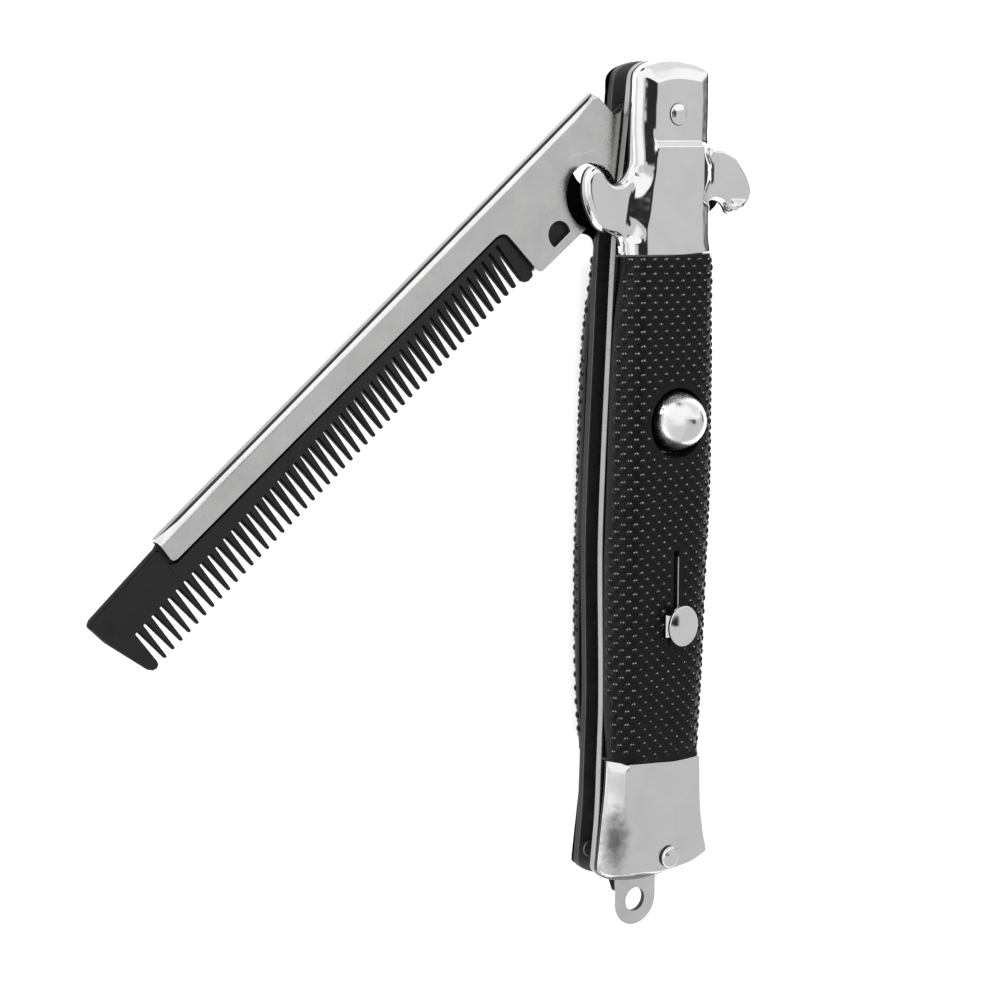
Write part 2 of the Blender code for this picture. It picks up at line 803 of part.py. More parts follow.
# The blade hangs on an empty at the pivot and is drawn closed: a toward -Y, b toward +X.
blade_pivot = bpy.data.objects.new("blade_pivot", None)
parts.objects.link(blade_pivot)
blade_pivot.rotation_euler = (0.0, 0.0, math.radians(-CLOSED_TURN_DEG))


def closed_frame(outline):
    return [(b, -a) for a, b in outline]


SPINE_START = (7.3, -9.75)
SPINE_END = (97.8, -9.15)
CHANNEL_LOWER = ((97.3, -5.4), (32.6, -4.95))


def leaf_outline():
    """One leaf of the folded channel with the tang: ring, neck, spine, lower edge and notch."""
    outline = arc((0.0, 0.0), PIVOT_RING_RADIUS, 90.0, 270.0, 16)
    outline += [(5.6, -4.75), (6.3, -4.95), (6.6, -5.5)]
    outline += [SPINE_START, SPINE_END, (98.0, -5.95), (97.8, -5.6)]
    outline += list(CHANNEL_LOWER)
    outline += [(31.83, -4.7), (31.05, 3.1), (30.9, 3.5), (30.45, 3.8)]
    outline += arc((NOTCH_A, NOTCH_B), NOTCH_RADIUS, 39.5, -219.5, 28)
    outline += [(6.0, 4.5)]
    return outline


def d_hole():
    half = math.sqrt(D_HOLE_RADIUS**2 - (D_HOLE_FLAT_B - D_HOLE_B) ** 2)
    start = math.degrees(math.atan2(D_HOLE_FLAT_B - D_HOLE_B, half))
    return arc((D_HOLE_A, D_HOLE_B), D_HOLE_RADIUS, start, -180.0 - start, 18)


channel_mesh = plate(
    "spine_channel",
    [
        closed_frame(leaf_outline()),
        closed_frame(d_hole()),
        circle((0.0, 0.0), PIVOT_HOLE_RADIUS, RIVET_STEPS),
    ],
    -BLADE_HALF,
    BLADE_HALF,
)
channel = add_object("spine_channel", channel_mesh, parts, steel)


def round_spine(target):
    """Rounds the two long outer edges of the fold."""
    body = bmesh.new()
    body.from_mesh(target.data)
    long_edges = []
    for edge in body.edges:
        flat = abs(edge.verts[0].co.z - edge.verts[1].co.z) < 0.00001
        outer = all(v.co.x < (SPINE_END[1] + 0.05) * MM for v in edge.verts)
        if flat and outer and edge.calc_length() > 0.05:
            long_edges.append(edge)
    bmesh.ops.bevel(
        body, geom=long_edges, offset=SPINE_ROUND * MM, segments=3, profile=0.5, affect="EDGES"
    )
    bmesh.ops.recalc_face_normals(body, faces=body.faces)
    body.to_mesh(target.data)
    body.free()


round_spine(channel)
inner_half = BLADE_HALF - BLADE_SHEET
fold_line = [
    (-8.0, SPINE_START[1] + BLADE_SHEET),
    (SPINE_START[0], SPINE_START[1] + BLADE_SHEET),
    (SPINE_END[0], SPINE_END[1] + BLADE_SHEET),
    (104.0, SPINE_END[1] + BLADE_SHEET),
    (104.0, 9.0),
    (-8.0, 9.0),
]
hollow = plate("hollow", [closed_frame(fold_line)], -inner_half, inner_half)
cut(channel, tool_object("hollow_tool", hollow), "DIFFERENCE")


def gap_centre(k):
    return GAP_START + GAP_PITCH * k + GAP_SHRINK * k**2 + GAP_EASE * k**3


def root_at(a):
    return ROOT_START_B + ROOT_RISE * (a - GAP_START)


def comb_outline():
    first = gap_centre(0)
    last = gap_centre(TEETH)
    outline = [(32.35, -4.65), (32.1, -4.3), (31.35, 3.1), (31.65, 3.7), (32.7, 3.8), (33.3, 3.5)]
    outline += [(first - GAP_TIP_WIDTH / 2, 2.9), (first - GAP_ROOT_WIDTH / 2, root_at(first))]
    for k in range(TEETH):
        left = gap_centre(k)
        right = gap_centre(k + 1)
        middle = (left + right) / 2
        tip = TOOTH_TIP_B + TOOTH_TIP_RISE * (middle - GAP_START)
        outline.append((left + GAP_ROOT_WIDTH / 2, root_at(left)))
        outline.append((left + GAP_TIP_WIDTH / 2, tip - TOOTH_TIP_ROUND))
        outline.append((middle - TOOTH_TIP_FLAT, tip))
        outline.append((middle + TOOTH_TIP_FLAT, tip))
        outline.append((right - GAP_TIP_WIDTH / 2, tip - TOOTH_TIP_ROUND))
        outline.append((right - GAP_ROOT_WIDTH / 2, root_at(right)))
    outline += [(last + GAP_ROOT_WIDTH / 2, root_at(last)), (last + GAP_ROOT_WIDTH, 2.9)]
    outline += [(107.85, 3.4), (108.35, 3.65), (108.95, 3.45), (109.4, 2.8)]
    outline += [(111.05, -3.9), (111.3, -6.9), (111.1, -7.2), (110.5, -7.5), (98.7, -8.05), (98.35, -7.8)]
    outline += [(98.35, -5.5), (97.6, -5.05)]
    return outline


def thin_teeth(mesh):
    """Thins the comb from the root line, where it is full, to the tips of its teeth."""
    for vertex in mesh.vertices:
        a = -vertex.co.y / MM
        root = root_at(a)
        tip = TOOTH_TIP_B + TOOTH_TIP_RISE * (a - GAP_START)
        share = (vertex.co.x / MM - root) / (tip - root)
        vertex.co.z *= 1.0 - TOOTH_TIP_THINNING * min(1.0, max(0.0, share))


comb_mesh = chamfered_plate("comb", closed_frame(comb_outline()), COMB_BEVEL, COMB_HALF)
thin_teeth(comb_mesh)
comb = add_object("comb", comb_mesh, parts, comb_plastic)
insert_outline = [
    (22.3, -8.85),
    (98.0, -8.3),
    (99.5, -7.8),
    (99.5, -3.5),
    (97.0, -3.6),
    (33.0, -4.4),
    (32.6, 2.9),
    (22.3, 3.2),
]
insert = plate("insert", [closed_frame(insert_outline)], -INSERT_HALF, INSERT_HALF)
cut(comb, tool_object("insert_tool", insert), "UNION")

# Everything is drawn about the middle plane; the object lies with its rear grip on z = 0.
LIFT = GRIP_CROWN * MM
for piece in parts.objects:
    piece.location.z = LIFT
button.location = (0.0, BUTTON_Y * MM, LIFT)
lock_slide.location = (0.0, KNOB_Y * MM, LIFT)
blade_pivot.location = (PIVOT_X * MM, PIVOT_Y * MM, LIFT)
for piece in (channel, comb):
    piece.location = (0.0, 0.0, 0.0)
    piece.parent = blade_pivot
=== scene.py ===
"""Looks of the folding comb: smooth bright shells, dotted grips, satin channel and black comb.

Every piece keeps the place and the form of the solid that it stands for. Lengths are in
millimetres, drawn about the middle plane of the handle, and set into the frame at the end.
"""

import math

import bmesh
import bpy
import numpy as np
from mathutils import Matrix, Vector
from mathutils.geometry import delaunay_2d_cdt


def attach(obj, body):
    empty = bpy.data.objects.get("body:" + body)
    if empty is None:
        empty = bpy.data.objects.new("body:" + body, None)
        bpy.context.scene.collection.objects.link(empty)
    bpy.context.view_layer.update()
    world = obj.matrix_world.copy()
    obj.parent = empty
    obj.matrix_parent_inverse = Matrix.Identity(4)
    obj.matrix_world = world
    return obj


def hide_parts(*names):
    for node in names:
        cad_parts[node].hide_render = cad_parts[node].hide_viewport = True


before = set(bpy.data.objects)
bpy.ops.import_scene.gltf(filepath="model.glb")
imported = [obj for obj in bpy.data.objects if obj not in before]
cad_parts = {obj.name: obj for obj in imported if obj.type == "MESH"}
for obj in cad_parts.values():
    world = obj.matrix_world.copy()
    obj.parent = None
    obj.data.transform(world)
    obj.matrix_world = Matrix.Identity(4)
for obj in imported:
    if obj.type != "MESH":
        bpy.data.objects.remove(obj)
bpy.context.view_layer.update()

MM = 0.001
# Height of the middle plane above the floor, where the rear grip rests.
LIFT = 6.8

# Camera: distance to the aim point on the middle plane, its turn and its rise.
CAMERA_AIM = (-28.439, 1.766, LIFT)
CAMERA_DISTANCE = 263.176
CAMERA_YAW = 0.612598
CAMERA_PITCH = 0.140497
CAMERA_LENS = 67.2727
SENSOR_WIDTH = 36.0

# Depth levels of the front half; the rear half mirrors them.
BLADE_HALF = 1.2
BLADE_SHEET = 0.5
INNER_FACE = 1.5
LINER_OUTER = 2.6
SHELL_BASE = 2.9
SHELL_WALL = 0.5
BOLSTER_UPPER_TOP = 5.6
BOLSTER_LOWER_TOP = 6.1
GRIP_CROWN = 6.8
GRIP_END_DROP = 0.35
GRIP_FLAT_HALF = 24.0
GRIP_FALL_LENGTH = 14.0
GRIP_MIDDLE_Y = -2.5
POMMEL_TOP = 5.7
STEP_Y = 51.45
STEP_SLANT = 0.03
STEP_LENGTH = 1.0
STEP_RUN_OUT = 6.0
# The step is run out this far before the slanted strip ends, and whole again this much farther in.
STEP_FADE_START = 0.7
STEP_FADE_WIDTH = 0.9
END_GAP = 0.3

# Rivets, button and lock slide.
PIVOT = (0.0, 55.65)
BUTT = (0.0, -55.65)
CLOSED_TURN_DEG = 50.4
RIVET_RADIUS = 1.65
BUTT_SHANK_RADIUS = 0.9
PIVOT_HEAD_RISE = 0.5
BUTT_HEAD_RISE = 1.0
REAR_HEAD_RISE = 0.4
BUTTON_Y = 11.25
BUTTON_RADIUS = 4.3
BUTTON_BOTTOM = 4.0
BUTTON_TOP = 11.1
BUTTON_DOME = 5.0
BUTTON_FULLNESS = 1.8
FLANGE_RADIUS = 4.7
FLANGE_TOP = 4.8
RECESS_Y = 10.9
RECESS_RADIUS = 5.2
KNOB_Y = -19.3
KNOB_RADIUS = 3.05
KNOB_NARROW = 0.9
KNOB_UNDER = 7.9
KNOB_TOP = 8.8
NECK_HALF_Y = 1.55
NECK_LOW = 7.1
TONGUE_HALF_X = 0.2
TONGUE_LOW = 3.2
SLOT_HALF_X = 0.5
SLOT_TOP_Y = -8.2
SLOT_END_Y = -21.8

# Grip dots: a square lattice turned by half a right angle, in rows across the grip.
DOT_PITCH_X = 2.12
DOT_ROW = 1.04
DOT_FIRST_X = -1.26
DOT_FIRST_Y = 33.63
DOT_RADIUS = 0.6
DOT_RISE = 0.28
DOT_SLOPE_DEG = 50.0
DOT_MARGIN = 0.55
# Height of a dot's foot on the skin, the rows that are tried, the points in which the skin is
# sampled along a row, and the space left free at the row's ends.
DOT_FOOT = -0.05
DOT_ROWS = range(-5, 75)
ROW_SAMPLES = 600
ROW_MARGIN = 0.05
# The grip's skin is drawn this far inside the solid's, to leave room for the dots.
SKIN_SINK = 0.2

# Width of the rounded rim of each shell, and how far the rear face lies lower: y, front, rear, lower.
RIM_WIDTHS = (
    (61.0, 3.0, 4.8, 0.7),
    (36.0, 3.0, 4.8, 0.7),
    (35.0, 3.0, 4.4, 0.7),
    (22.0, 4.1, 4.6, 0.0),
    (4.0, 4.6, 4.9, 0.0),
    (-16.0, 4.5, 5.0, 0.0),
    (-39.0, 4.2, 5.2, 1.0),
    (-41.0, 2.2, 5.2, 0.5),
    (-47.0, 2.6, 5.2, 0.5),
    (-57.0, 4.6, 5.2, 0.5),
)
# How full the curve of a rim is: 1 is a flat slope, 2 an ellipse, more a squarer shoulder.
GRIP_FULLNESS = 2.0
POMMEL_FULLNESS = 1.2
REAR_FULLNESS = 2.0
# The front pommel's rim is narrower along its lower end and its right side.
POMMEL_END_RIM = 1.1
POMMEL_RIGHT_RIM = 0.9
# Outline of the bolsters, grips and pommels: y, left x, right x.
HANDLE_SIDES = (
    (64.0, -6.70, 7.40),
    (61.0, -6.70, 7.40),
    (57.0, -6.95, 7.45),
    (51.0, -7.10, 7.40),
    (47.5, -7.30, 7.40),
    (42.0, -8.00, 7.40),
    (38.0, -8.75, 7.50),
    (35.8, -8.55, 7.80),
    (34.8, -8.55, 8.00),
    (28.0, -9.35, 8.05),
    (20.0, -10.05, 8.30),
    (12.0, -10.40, 8.35),
    (4.0, -10.65, 8.45),
    (-4.0, -10.90, 8.25),
    (-10.0, -11.10, 7.95),
    (-19.0, -11.10, 7.60),
    (-30.0, -11.00, 7.20),
    (-39.5, -10.45, 6.80),
    (-43.0, -10.60, 6.90),
    (-48.0, -11.15, 7.10),
    (-53.0, -11.80, 7.75),
    (-56.5, -12.15, 8.50),
    (-60.0, -12.15, 8.50),
)
# End curves of the bolster, grip and pommel: x, y.
BOLSTER_END = ((-8.7, 35.55), (0.0, 35.57), (5.7, 35.95), (7.8, 36.1))
POMMEL_START = ((-10.6, -39.45), (-7.5, -40.0), (-2.5, -40.5), (1.5, -40.85), (7.2, -40.75))
POMMEL_END = (
    (-12.15, -56.30), (-11.10, -57.15), (-9.20, -57.80), (-4.40, -58.40), (-1.20, -58.80),
    (3.50, -58.55), (7.20, -57.45), (8.50, -56.40),
)
# Outline of the liners, clockwise from the top left: x, y.
LINER_OUTLINE = (
    (-6.23, 61.3), (-5.85, 61.9), (-4.64, 62.85), (-2.0, 63.5), (0.5, 63.7), (3.0, 63.55),
    (5.5, 63.1), (7.1, 61.9), (7.2, 57.0), (7.2, 40.0), (7.8, 34.8), (8.1, 20.0), (8.25, 4.0),
    (7.85, -8.0), (7.0, -30.0), (6.6, -40.0), (6.9, -48.0), (7.5, -53.0), (8.2, -56.4),
    (7.2, -58.0), (3.5, -59.1), (0.0, -59.5), (-4.0, -59.4), (-7.66, -58.8), (-9.03, -58.4),
    (-10.58, -57.7), (-11.55, -56.95), (-12.0, -56.2), (-11.9, -54.5), (-11.26, -47.8),
    (-10.95, -40.1), (-10.67, -30.0), (-10.99, -8.0), (-10.64, 4.2), (-9.88, 20.0), (-8.96, 37.7),
    (-7.95, 46.5), (-7.45, 50.5), (-6.94, 54.8), (-6.5, 59.7),
)
# Outline of a bolster with its guard wings, counter-clockwise from the top right, less its lower end: x, y.
BOLSTER_OUTLINE = (
    (7.40, 62.00), (6.40, 62.90), (4.50, 63.45), (2.50, 63.72), (0.50, 63.82), (-1.70, 63.62),
    (-3.50, 63.20), (-5.00, 62.65), (-6.00, 62.00), (-6.70, 61.10), (-6.82, 59.0), (-6.95, 57.0),
    (-7.03, 54.0), (-7.10, 51.0), (-7.15, 49.3), (-7.3, 48.1), (-7.8, 47.1), (-8.5, 46.3),
    (-9.5, 45.7), (-10.7, 45.6), (-11.8, 46.25), (-12.6, 47.3), (-13.4, 47.95), (-14.3, 48.05),
    (-15.1, 47.4), (-15.65, 46.2), (-15.75, 44.7), (-15.5, 43.2), (-14.7, 41.35), (-13.4, 39.6),
    (-11.8, 38.75), (-9.9, 38.35), (-9.1, 37.8), (-8.8, 37.0), (-8.70, 35.55),
)
BOLSTER_RIGHT = (
    (7.80, 36.10), (7.50, 38.0), (7.40, 40.0), (7.40, 42.2), (7.55, 43.2), (8.3, 43.6), (9.8, 43.4),
    (10.8, 42.7), (11.5, 41.7), (12.4, 41.4), (13.9, 42.0), (15.3, 43.2), (15.75, 45.0),
    (15.4, 46.3), (14.5, 47.8), (12.5, 50.0), (11.2, 50.7), (9.7, 51.15), (8.4, 51.2), (7.6, 51.55),
    (7.40, 52.5), (7.42, 55.0), (7.45, 57.0), (7.42, 60.0),
)
# Where the wings reach along the body, and how wide the ramp is that leads from them up to the face.
LEFT_RAMP = (36.9, 38.6, 46.6, 48.8)
RIGHT_RAMP = (42.4, 43.8, 50.6, 52.2)
RAMP_OUT = 0.6
RAMP_WIDTH = 3.4
# Share of an eased curve in that ramp; the rest is straight.
RAMP_SOFTNESS = 0.3
# Section across a bolster's edge: an upright wall turns into a slanting strip,
# which meets the face in a soft corner.
WALL_WIDTH = 1.55
STRIP_END = 3.05
STRIP_SLOPE = 0.306
STRIP_CORNER = 0.35
WING_TOP = 4.7
WING_ROUND = 0.8
# A wing's rounding begins this far inside the body's edge, and is whole this much farther out.
WING_EASE_INSIDE = 1.2
WING_EASE_WIDTH = 1.8

# Blade, in its own frame: a runs from the pivot to the tip, b from the spine to the teeth.
PIVOT_RING_RADIUS = 4.75
PIVOT_HOLE_RADIUS = 1.95
NOTCH = (16.89, 1.21)
NOTCH_RADIUS = 4.67
D_HOLE = (24.9, 1.76)
D_HOLE_RADIUS = 1.97
D_HOLE_FLAT_B = 2.62
SPINE_ROUND = 0.95
SPINE_START = (7.3, -9.75)
SPINE_END = (97.8, -9.15)
COMB_HALF = 0.9
TEETH = 47
GAP_START = 34.2
GAP_PITCH = 1.668
GAP_SHRINK = -0.0037
GAP_EASE = 0.000028
ROOT_START_B = -3.75
ROOT_RISE = 0.0235
TOOTH_TIP_B = 2.95
TOOTH_TIP_RISE = 0.0075
GAP_ROOT_WIDTH = 0.36
GAP_TIP_WIDTH = 0.98
TOOTH_TIP_ROUND = 0.25
TOOTH_TIP_FLAT = 0.15
# Shoulder of a tooth's tip: share of its half width, and share of its rounding.
TOOTH_SHOULDER = (0.8, 0.35)
COMB_BEVEL = 0.2
TOOTH_TIP_THINNING = 0.5

# Split-ring eye.
EYE = (-2.2, -63.6)
EYE_RADIUS = 4.0
EYE_HOLE_RADIUS = 1.85
EYE_HALF = 0.45
EYE_BLOCK_HALF = 1.2
EYE_BLOCK_TOP_Y = -57.2
EYE_BLOCK_FRONT_Y = -59.1
EYE_BLOCK_END_Y = -59.8
EYE_TAPER_Y = -61.4

# Corners of a square, counter-clockwise.
SQUARE = ((-1, -1), (1, -1), (1, 1), (-1, 1))


# Curves through tables of points.


def smooth_column(rows, key, value):
    """A smooth function through a table column that adds no bumps between its points."""
    pairs = sorted((row[key], row[value]) for row in rows)
    x = np.array([pair[0] for pair in pairs])
    y = np.array([pair[1] for pair in pairs])
    width = np.diff(x)
    slope = np.diff(y) / width
    tangent = np.zeros(len(x))
    tangent[0] = slope[0]
    tangent[-1] = slope[-1]
    for i in range(1, len(x) - 1):
        if slope[i - 1] * slope[i] > 0.0:
            before = 2.0 * width[i] + width[i - 1]
            after = width[i] + 2.0 * width[i - 1]
            tangent[i] = (before + after) / (before / slope[i - 1] + after / slope[i])

    def at(value_at):
        value_at = np.clip(value_at, x[0], x[-1])
        i = np.clip(np.searchsorted(x, value_at, side="right") - 1, 0, len(width) - 1)
        t = (value_at - x[i]) / width[i]
        rise = tangent[i] * width[i]
        fall = tangent[i + 1] * width[i]
        return (
            y[i] * (1.0 + 2.0 * t) * (1.0 - t) ** 2
            + rise * t * (1.0 - t) ** 2
            + y[i + 1] * t**2 * (3.0 - 2.0 * t)
            + fall * t**2 * (t - 1.0)
        )

    return at


def smooth_loop(points, step, corner_deg=40.0):
    """A closed outline resampled on smooth curves through its points, with sharp turns kept."""
    count = len(points)
    p = [Vector(point) for point in points]
    sharp = []
    for i in range(count):
        before = p[i] - p[i - 1]
        after = p[(i + 1) % count] - p[i]
        sharp.append(abs(before.angle_signed(after, 0.0)) > math.radians(corner_deg))
    made = []
    for i in range(count):
        start, end = p[i], p[(i + 1) % count]
        before = start - (end - start) if sharp[i] else p[i - 1]
        after = end + (end - start) if sharp[(i + 1) % count] else p[(i + 2) % count]
        reach = (end - start).length
        leave = (end - before) * (reach / max(1e-6, (end - start).length + (start - before).length))
        arrive = (after - start) * (reach / max(1e-6, (after - end).length + (end - start).length))
        pieces = max(1, round(reach / step))
        for k in range(pieces):
            t = k / pieces
            spot = (
                start * ((1.0 + 2.0 * t) * (1.0 - t) ** 2)
                + leave * (t * (1.0 - t) ** 2)
                + end * (t**2 * (3.0 - 2.0 * t))
                + arrive * (t**2 * (t - 1.0))
            )
            made.append((spot.x, spot.y))
    return made


def arc(centre, radius, start_deg, end_deg, steps):
    angles = np.radians(np.linspace(start_deg, end_deg, steps + 1))
    return [(centre[0] + radius * math.cos(t), centre[1] + radius * math.sin(t)) for t in angles]


def circle(centre, radius, steps):
    return arc(centre, radius, 0.0, 360.0, steps)[:-1]


# Mesh makers. Meshes stay in millimetres until they are placed.


def mesh_from(name, points, faces):
    mesh = bpy.data.meshes.new(name)
    mesh.from_pydata([tuple(point) for point in points], [], faces)
    face_outward(mesh)
    return mesh


def face_outward(mesh):
    body = bmesh.new()
    body.from_mesh(mesh)
    bmesh.ops.recalc_face_normals(body, faces=body.faces)
    body.to_mesh(mesh)
    body.free()


def add_object(name, mesh):
    made = bpy.data.objects.new(name, mesh)
    bpy.context.scene.collection.objects.link(made)
    return made


def applied(target):
    """Bakes an object's modifiers into its mesh."""
    graph = bpy.context.evaluated_depsgraph_get()
    made = bpy.data.meshes.new_from_object(target.evaluated_get(graph))
    target.modifiers.clear()
    target.data = made


def cut(target, tool, operation):
    modifier = target.modifiers.new("cut", "BOOLEAN")
    modifier.operation = operation
    modifier.solver = "EXACT"
    modifier.object = tool
    applied(target)
    bpy.data.objects.remove(tool)


def plate(name, outlines, low, high, bevel=0.0, segments=3):
    """A flat plate between two heights with rounded edges, from its outline and its holes."""
    curve = bpy.data.curves.new(name, "CURVE")
    curve.dimensions = "2D"
    curve.fill_mode = "BOTH"
    curve.extrude = (high - low) / 2 - bevel
    curve.bevel_depth = bevel
    curve.bevel_resolution = segments
    curve.offset = -bevel
    for outline in outlines:
        spline = curve.splines.new("POLY")
        spline.points.add(len(outline) - 1)
        spline.use_cyclic_u = True
        for point, (x, y) in zip(spline.points, outline):
            point.co = (x, y, 0.0, 1.0)
    holder = bpy.data.objects.new(name, curve)
    bpy.context.scene.collection.objects.link(holder)
    graph = bpy.context.evaluated_depsgraph_get()
    mesh = bpy.data.meshes.new_from_object(holder.evaluated_get(graph))
    bpy.data.objects.remove(holder)
    bpy.data.curves.remove(curve)
    body = bmesh.new()
    body.from_mesh(mesh)
    bmesh.ops.remove_doubles(body, verts=body.verts, dist=0.002)
    bmesh.ops.translate(body, verts=body.verts, vec=(0.0, 0.0, (high + low) / 2))
    bmesh.ops.recalc_face_normals(body, faces=body.faces)
    body.to_mesh(mesh)
    body.free()
    mesh.name = name
    return mesh


def turned(name, profile, centre, steps):
    """A solid turned about an upright axis from (radius, z) points, bottom to top."""
    points = []
    faces = []
    rings = []
    for radius, height in profile:
        if radius == 0.0:
            rings.append([len(points)])
            points.append((centre[0], centre[1], height))
            continue
        ring = []
        for x, y in circle(centre, radius, steps):
            ring.append(len(points))
            points.append((x, y, height))
        rings.append(ring)
    for lower, upper in zip(rings, rings[1:]):
        for i in range(steps):
            j = (i + 1) % steps
            if len(lower) == 1:
                faces.append((lower[0], upper[i], upper[j]))
            elif len(upper) == 1:
                faces.append((lower[i], lower[j], upper[0]))
            else:
                faces.append((lower[i], lower[j], upper[j], upper[i]))
    if len(rings[0]) > 1:
        faces.append(tuple(rings[0]))
    if len(rings[-1]) > 1:
        faces.append(tuple(rings[-1]))
    return mesh_from(name, points, faces)


def shade(target, angle_deg=35.0):
    """Smooth shading, with edges sharper than the angle left sharp."""
    mesh = target.data
    body = bmesh.new()
    body.from_mesh(mesh)
    limit = math.radians(angle_deg)
    for face in body.faces:
        face.smooth = True
    for edge in body.edges:
        edge.smooth = len(edge.link_faces) == 2 and edge.calc_face_angle(0.0) < limit
    body.to_mesh(mesh)
    body.free()


def level_faces(target):
    """Keeps the flat faces of a plate flat in their shading."""
    for polygon in target.data.polygons:
        if abs(polygon.normal.z) > 0.9999:
            polygon.use_smooth = False


def mark_faces(target, look, chosen):
    """Gives the faces picked by a test a finish of their own."""
    target.data.materials.append(look)
    index = len(target.data.materials) - 1
    for polygon in target.data.polygons:
        if chosen(polygon):
            polygon.material_index = index


# Placing and finishing.

HANDLE_PLACE = Matrix.Scale(MM, 4) @ Matrix.Translation((0.0, 0.0, LIFT))
BLADE_PLACE = (
    Matrix.Scale(MM, 4)
    @ Matrix.Translation((PIVOT[0], PIVOT[1], LIFT))
    @ Matrix.Rotation(math.radians(-CLOSED_TURN_DEG), 4, "Z")
)


def finish_piece(target, look, body, node=None):
    """Sets a piece into the frame, gives it its finish, hangs it on the body it rides on, and hides the part
    it stands for.
    """
    place = BLADE_PLACE if body == "blade" else HANDLE_PLACE
    target.data.transform(place)
    target.data.materials.clear()
    target.data.materials.append(look)
    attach(target, body)
    if node is not None:
        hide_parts(node)


# Materials.


def new_material(name):
    made = bpy.data.materials.new(name)
    made.use_nodes = True
    nodes = made.node_tree.nodes
    shader = nodes["Principled BSDF"]
    place = nodes.new("ShaderNodeTexCoord")
    return made, nodes, made.node_tree.links, shader, place.outputs["Object"]


def noise(nodes, links, source, scale, detail=3.0, roughness=0.5):
    made = nodes.new("ShaderNodeTexNoise")
    made.inputs["Scale"].default_value = scale
    made.inputs["Detail"].default_value = detail
    made.inputs["Roughness"].default_value = roughness
    links.new(source, made.inputs["Vector"])
    return made.outputs["Fac"]


# The middle range of a noise, in which nearly all of it lies.
NOISE_RANGE = (0.3, 0.7)


def remap(nodes, links, value, source, target=(0.0, 1.0), curve="SMOOTHSTEP"):
    """Maps a value from one range to another, softly unless told otherwise."""
    made = nodes.new("ShaderNodeMapRange")
    made.interpolation_type = curve
    for label, limit in zip(("From Min", "From Max", "To Min", "To Max"), (*source, *target)):
        made.inputs[label].default_value = limit
    links.new(value, made.inputs["Value"])
    return made.outputs["Result"]


def spread(nodes, links, value, low, high):
    """Spreads a noise evenly from its middle range over a new range."""
    return remap(nodes, links, value, NOISE_RANGE, (low, high), "LINEAR")


def number_math(nodes, links, operation, first, second=None):
    made = nodes.new("ShaderNodeMath")
    made.operation = operation
    links.new(first, made.inputs[0])
    if second is not None:
        links.new(second, made.inputs[1])
    return made.outputs[0]


def vector_math(nodes, links, operation, first, constant=None):
    made = nodes.new("ShaderNodeVectorMath")
    made.operation = operation
    links.new(first, made.inputs[0])
    if constant is not None:
        made.inputs[1].default_value = constant
    return made.outputs


def tint(nodes, links, value, low, high):
    """A colour between two greys, by a value."""
    made = nodes.new("ShaderNodeValToRGB")
    for element, position, grey in zip(made.color_ramp.elements, NOISE_RANGE, (low, high)):
        element.position = position
        element.color = (*grey, 1.0)
    links.new(value, made.inputs["Fac"])
    return made.outputs["Color"]


def add_bump(nodes, links, shader, height, distance):
    made = nodes.new("ShaderNodeBump")
    made.inputs["Distance"].default_value = distance
    links.new(height, made.inputs["Height"])
    links.new(made.outputs["Normal"], shader.inputs["Normal"])


# Mottle of a painted reflection's border: size of the noise, and how far it moves the border.
REFLECTION_MOTTLE = 700.0
REFLECTION_WOBBLE = 0.22
# A painted reflection's inner and outer border, as shares of its half size, and how much of it covers the
# finish.
REFLECTION_INNER = 0.1
REFLECTION_OUTER = 1.25
REFLECTION_COVER = 0.85


def paint_dark_reflection(nodes, links, place, clean, reflection_patch):
    """Colour of a finish with one soft, mottled dark patch painted on as a reflection: centre, half sizes
    and darkness of the patch.
    """
    centre, reach, dark = reflection_patch
    shifted = vector_math(nodes, links, "SUBTRACT", place, [value * MM for value in centre])[0]
    scaled = vector_math(nodes, links, "DIVIDE", shifted, [value * MM for value in reach])[0]
    length = vector_math(nodes, links, "LENGTH", scaled)["Value"]
    mottle = noise(nodes, links, place, REFLECTION_MOTTLE, 3.0, 0.6)
    wobble = spread(nodes, links, mottle, -REFLECTION_WOBBLE, REFLECTION_WOBBLE)
    border = number_math(nodes, links, "ADD", length, wobble)
    share = remap(nodes, links, border, (REFLECTION_INNER, REFLECTION_OUTER), (REFLECTION_COVER, 0.0))
    mix = nodes.new("ShaderNodeMix")
    mix.data_type = "RGBA"
    links.new(share, mix.inputs["Factor"])
    links.new(clean, mix.inputs[6])
    mix.inputs[7].default_value = (dark, dark, dark, 1.0)
    return mix.outputs[2]


# Grain of the finishes. Slow mottle of the colour: scale, detail, roughness, darkest share of the
# colour. Fine mottle of the roughness: detail, least and most share of the roughness.
CHROME_GRAIN = ((260.0, 2.0, 0.5, 0.94), (4.0, 0.7, 1.3))
STEEL_GRAIN = ((220.0, 5.0, 0.6, 0.86), (3.0, 0.8, 1.2))
PLASTIC_GRAIN = ((300.0, 3.0, 0.5, 0.75), (4.0, 0.8, 1.25))
# Scale of the fine mottle of chrome and steel, and how high steel's rises, in metres.
CHROME_FINE = 900.0
STEEL_FINE = 2600.0
STEEL_DEPTH = 0.000012


def grained(wiring, colour, roughness, grain, fine_scale, reflection_patch=None):
    """Gives a material its mottled colour and roughness, and returns both mottles."""
    _, nodes, links, shader, place = wiring
    (scale, detail, rough, darkest), (fine_detail, least, most) = grain
    slow = noise(nodes, links, place, scale, detail, rough)
    low = tuple(value * darkest for value in colour)
    shown = tint(nodes, links, slow, low, colour)
    # Where one is given, a dark reflection is painted into the colour.
    if reflection_patch is not None:
        shown = paint_dark_reflection(nodes, links, place, shown, reflection_patch)
    links.new(shown, shader.inputs["Base Color"])
    fine = noise(nodes, links, place, fine_scale, fine_detail)
    rough_part = spread(nodes, links, fine, roughness * least, roughness * most)
    links.new(rough_part, shader.inputs["Roughness"])
    return slow, fine


